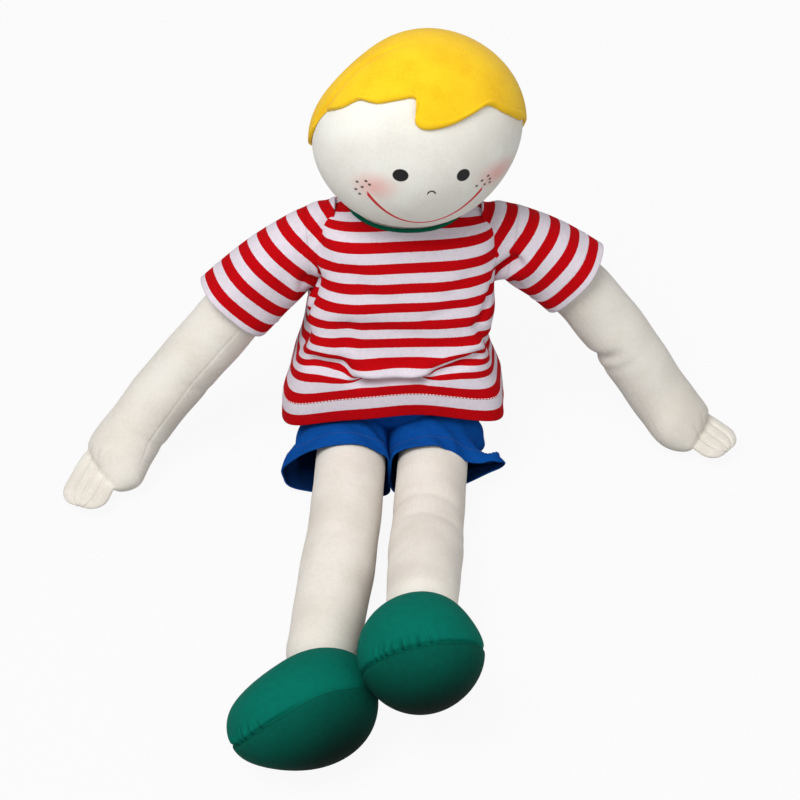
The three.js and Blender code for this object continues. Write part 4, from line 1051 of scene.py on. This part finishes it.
# Rows: rings of the dome from its pole behind the hip to its widest, then a ring on the thigh, then the hem
def makeShorts(side):
    own, outward = shorts[side], outwards[side]
    hip = np.array(posture["hips"][side])
    column = np.linspace(0, 1, shorts["columns"])
    angle = wholeTurn * column
    seam = shorts["seam"] - outward * shorts["seamHalf"]
    half = abs(hip[0] + outward * own["wide"] - seam) / 2
    opening = np.linspace(0, np.pi / 2, shorts["domeRings"])[:, None]
    dome = hip + shorts["dome"] * np.stack([-outward * np.sin(opening) * np.cos(angle), np.cos(opening) + 0 * angle,
                                            np.sin(opening) * np.sin(angle)], -1)
    thigh = np.stack([seam + outward * half * (1 - np.cos(angle)), np.full_like(angle, shorts["thighAt"]),
                      hip[2] + shorts["thighHalf"] * np.sin(angle)], -1)
    knots = np.concatenate([dome, [thigh], [curveThrough(own["hem"], column)]])
    run = np.unique(np.concatenate([np.linspace(*span) for span in shorts["spans"]]))
    last = len(knots) - 1
    rows = curveThrough(knots, np.interp(run, [0, 0.5, 0.75, 1], [0, (last - 2) / last, (last - 1) / last, 1]))
    run = run[:, None]
    wrinkle = np.sin(run * 38 + 5 * np.sin(column * 9 + outward)) * np.sin(column * 23 + 2 * run)
    wrinkle = shorts["wrinkle"] * wrinkle * ease(run, *shorts["wrinkleFade"])
    wrinkle = wrinkle * ease(np.abs(column - 0.5), *shorts["seamFade"])
    deep, spot, wide, level, tall = own["dent"]
    above, swell = shorts["overDent"]
    dent = deep * bell(column, spot, wide) * (bell(run, level, tall) - swell * bell(run, level + above, tall))
    rows = rows + faceWays(rows) * (wrinkle - dent)[..., None]
    rows[..., 2] = np.maximum(rows[..., 2], shorts["lowest"])
    piece = makePiece(f"shorts.{side}", [surface(rows, around=True, poleStart=True)], blueCotton, shorts["thick"],
                      blueInsideShaded)
    stitch = makePiece(f"shortsStitch.{side}", stitchLine(rows[::-1], faceWays(rows)[::-1], **shorts["stitch"]),
                       blueThread)
    sewOn(piece, f"leg_{side}", "blue_cotton")
    sewOn(stitch, f"leg_{side}", "blue_cotton")


for side in outwards:
    makeShorts(side)

# Waistband and the elastic inside it: flat rings, gathered on the outside
bands = dict(shortsBand=dict(outside=(55.6, 44.7), inside=(53.6, 42.7), span=(51, 65), gathers=36, depth=0.5),
             waistElastic=dict(outside=(54.9, 44.0), inside=(54.2, 43.3), span=(54, 62), gathers=36, depth=0.1))


def bandPiece(name, material):
    own = bands[name]
    ring = squaredOval(allAround, torso["squareness"])
    ripple = own["depth"] * np.cos(own["gathers"] * allAround)
    levels = np.linspace(*own["span"], 3)[:, None]
    outside, inside = (np.stack([ring[0] * (half[0] + wave) + 0 * levels, ring[1] * (half[1] + wave) + 0 * levels,
                                 levels + 0 * allAround], -1)
                       for half, wave in ((own["outside"], ripple), (own["inside"], 0)))
    loop = onBody(np.concatenate([outside, inside[::-1], outside[:1]]))
    return makePiece(name, [surface(loop, around=True, looped=True)], material)


band = bandPiece("shortsBand", blueCotton)
elastic = bandPiece("waistElastic", elasticWeave)
sewOn(band, "torso", "blue_cotton", "waistband")
sewOn(elastic, "torso", "white_elastic", "waist_elastic")
print("doll: shorts and waistband on")

# Floor, light and camera; powers in watts, places in metres
studio = dict(floor=8.0, floorGrey=(0.36, 0.36, 0.36, 1), glow=0.9, glowLight=1.03, white=(1, 1, 1, 1),
              sky=(0.98, 0.99, 1.0, 1), skyLight=0.42, skySeen=0.97, aim=(0, -0.1, 0.1),
              lamps=[("keyLamp", (-0.7, -0.75, 2.1), 38, 1.3), ("fillLamp", (1.2, -1.4, 1.3), 9.5, 1.4)])

pale = Finish("paleFloor", Base_Color=studio["floorGrey"], Roughness=0.9, Specular_IOR_Level=0.1)
glow = pale.node("Emission", {"Color": studio["white"], "Strength": studio["glowLight"]})
paleFloor = pale.done(pale.node("MixShader", {0: pale.seen() * studio["glow"], 1: pale.plain, 2: glow}))
side = np.linspace(-studio["floor"] / 2, studio["floor"] / 2, 9) / mm
floorGrid = np.stack([*np.meshgrid(side, side), np.zeros((9, 9))], -1)
makePiece("floor", [surface(floorGrid)], paleFloor)

world = bpy.data.worlds.new("studio")
scene.world = world
world.use_nodes = True
air = Nodes(world.node_tree)
light, backdrop = (air.node("Background", {0: colour, 1: strength}) for colour, strength in
                   ((studio["sky"], studio["skyLight"]), (studio["white"], studio["skySeen"])))
both = air.node("MixShader", {0: air.seen(), 1: light, 2: backdrop})
air.node("OutputWorld", {0: both})

for name, at, power, size in studio["lamps"]:
    lamp = bpy.data.lights.new(name, "AREA")
    lamp.energy, lamp.size, lamp.shape = power, size, "DISK"
    holder = bpy.data.objects.new(name, lamp)
    scene.collection.objects.link(holder)
    holder.location = at
    holder.rotation_euler = (Vector(studio["aim"]) - Vector(at)).to_track_quat("-Z", "Y").to_euler()

cameraAt = dict(elevation=45, distance=1.8, aim=(0, 0.0163, 0.0163), lens=112.5, sensor=36)
lens = bpy.data.cameras.new("camera")
lens.lens, lens.sensor_width = cameraAt["lens"], cameraAt["sensor"]
camera = bpy.data.objects.new("camera", lens)
scene.collection.objects.link(camera)
tilt = np.radians(cameraAt["elevation"])
camera.location = tuple(np.array(cameraAt["aim"]) + cameraAt["distance"] * np.array([0, -np.cos(tilt), np.sin(tilt)]))
camera.rotation_euler = (np.pi / 2 - tilt, 0, 0)
scene.camera = camera
scene.view_settings.view_transform = "Standard"
print("doll: studio set")
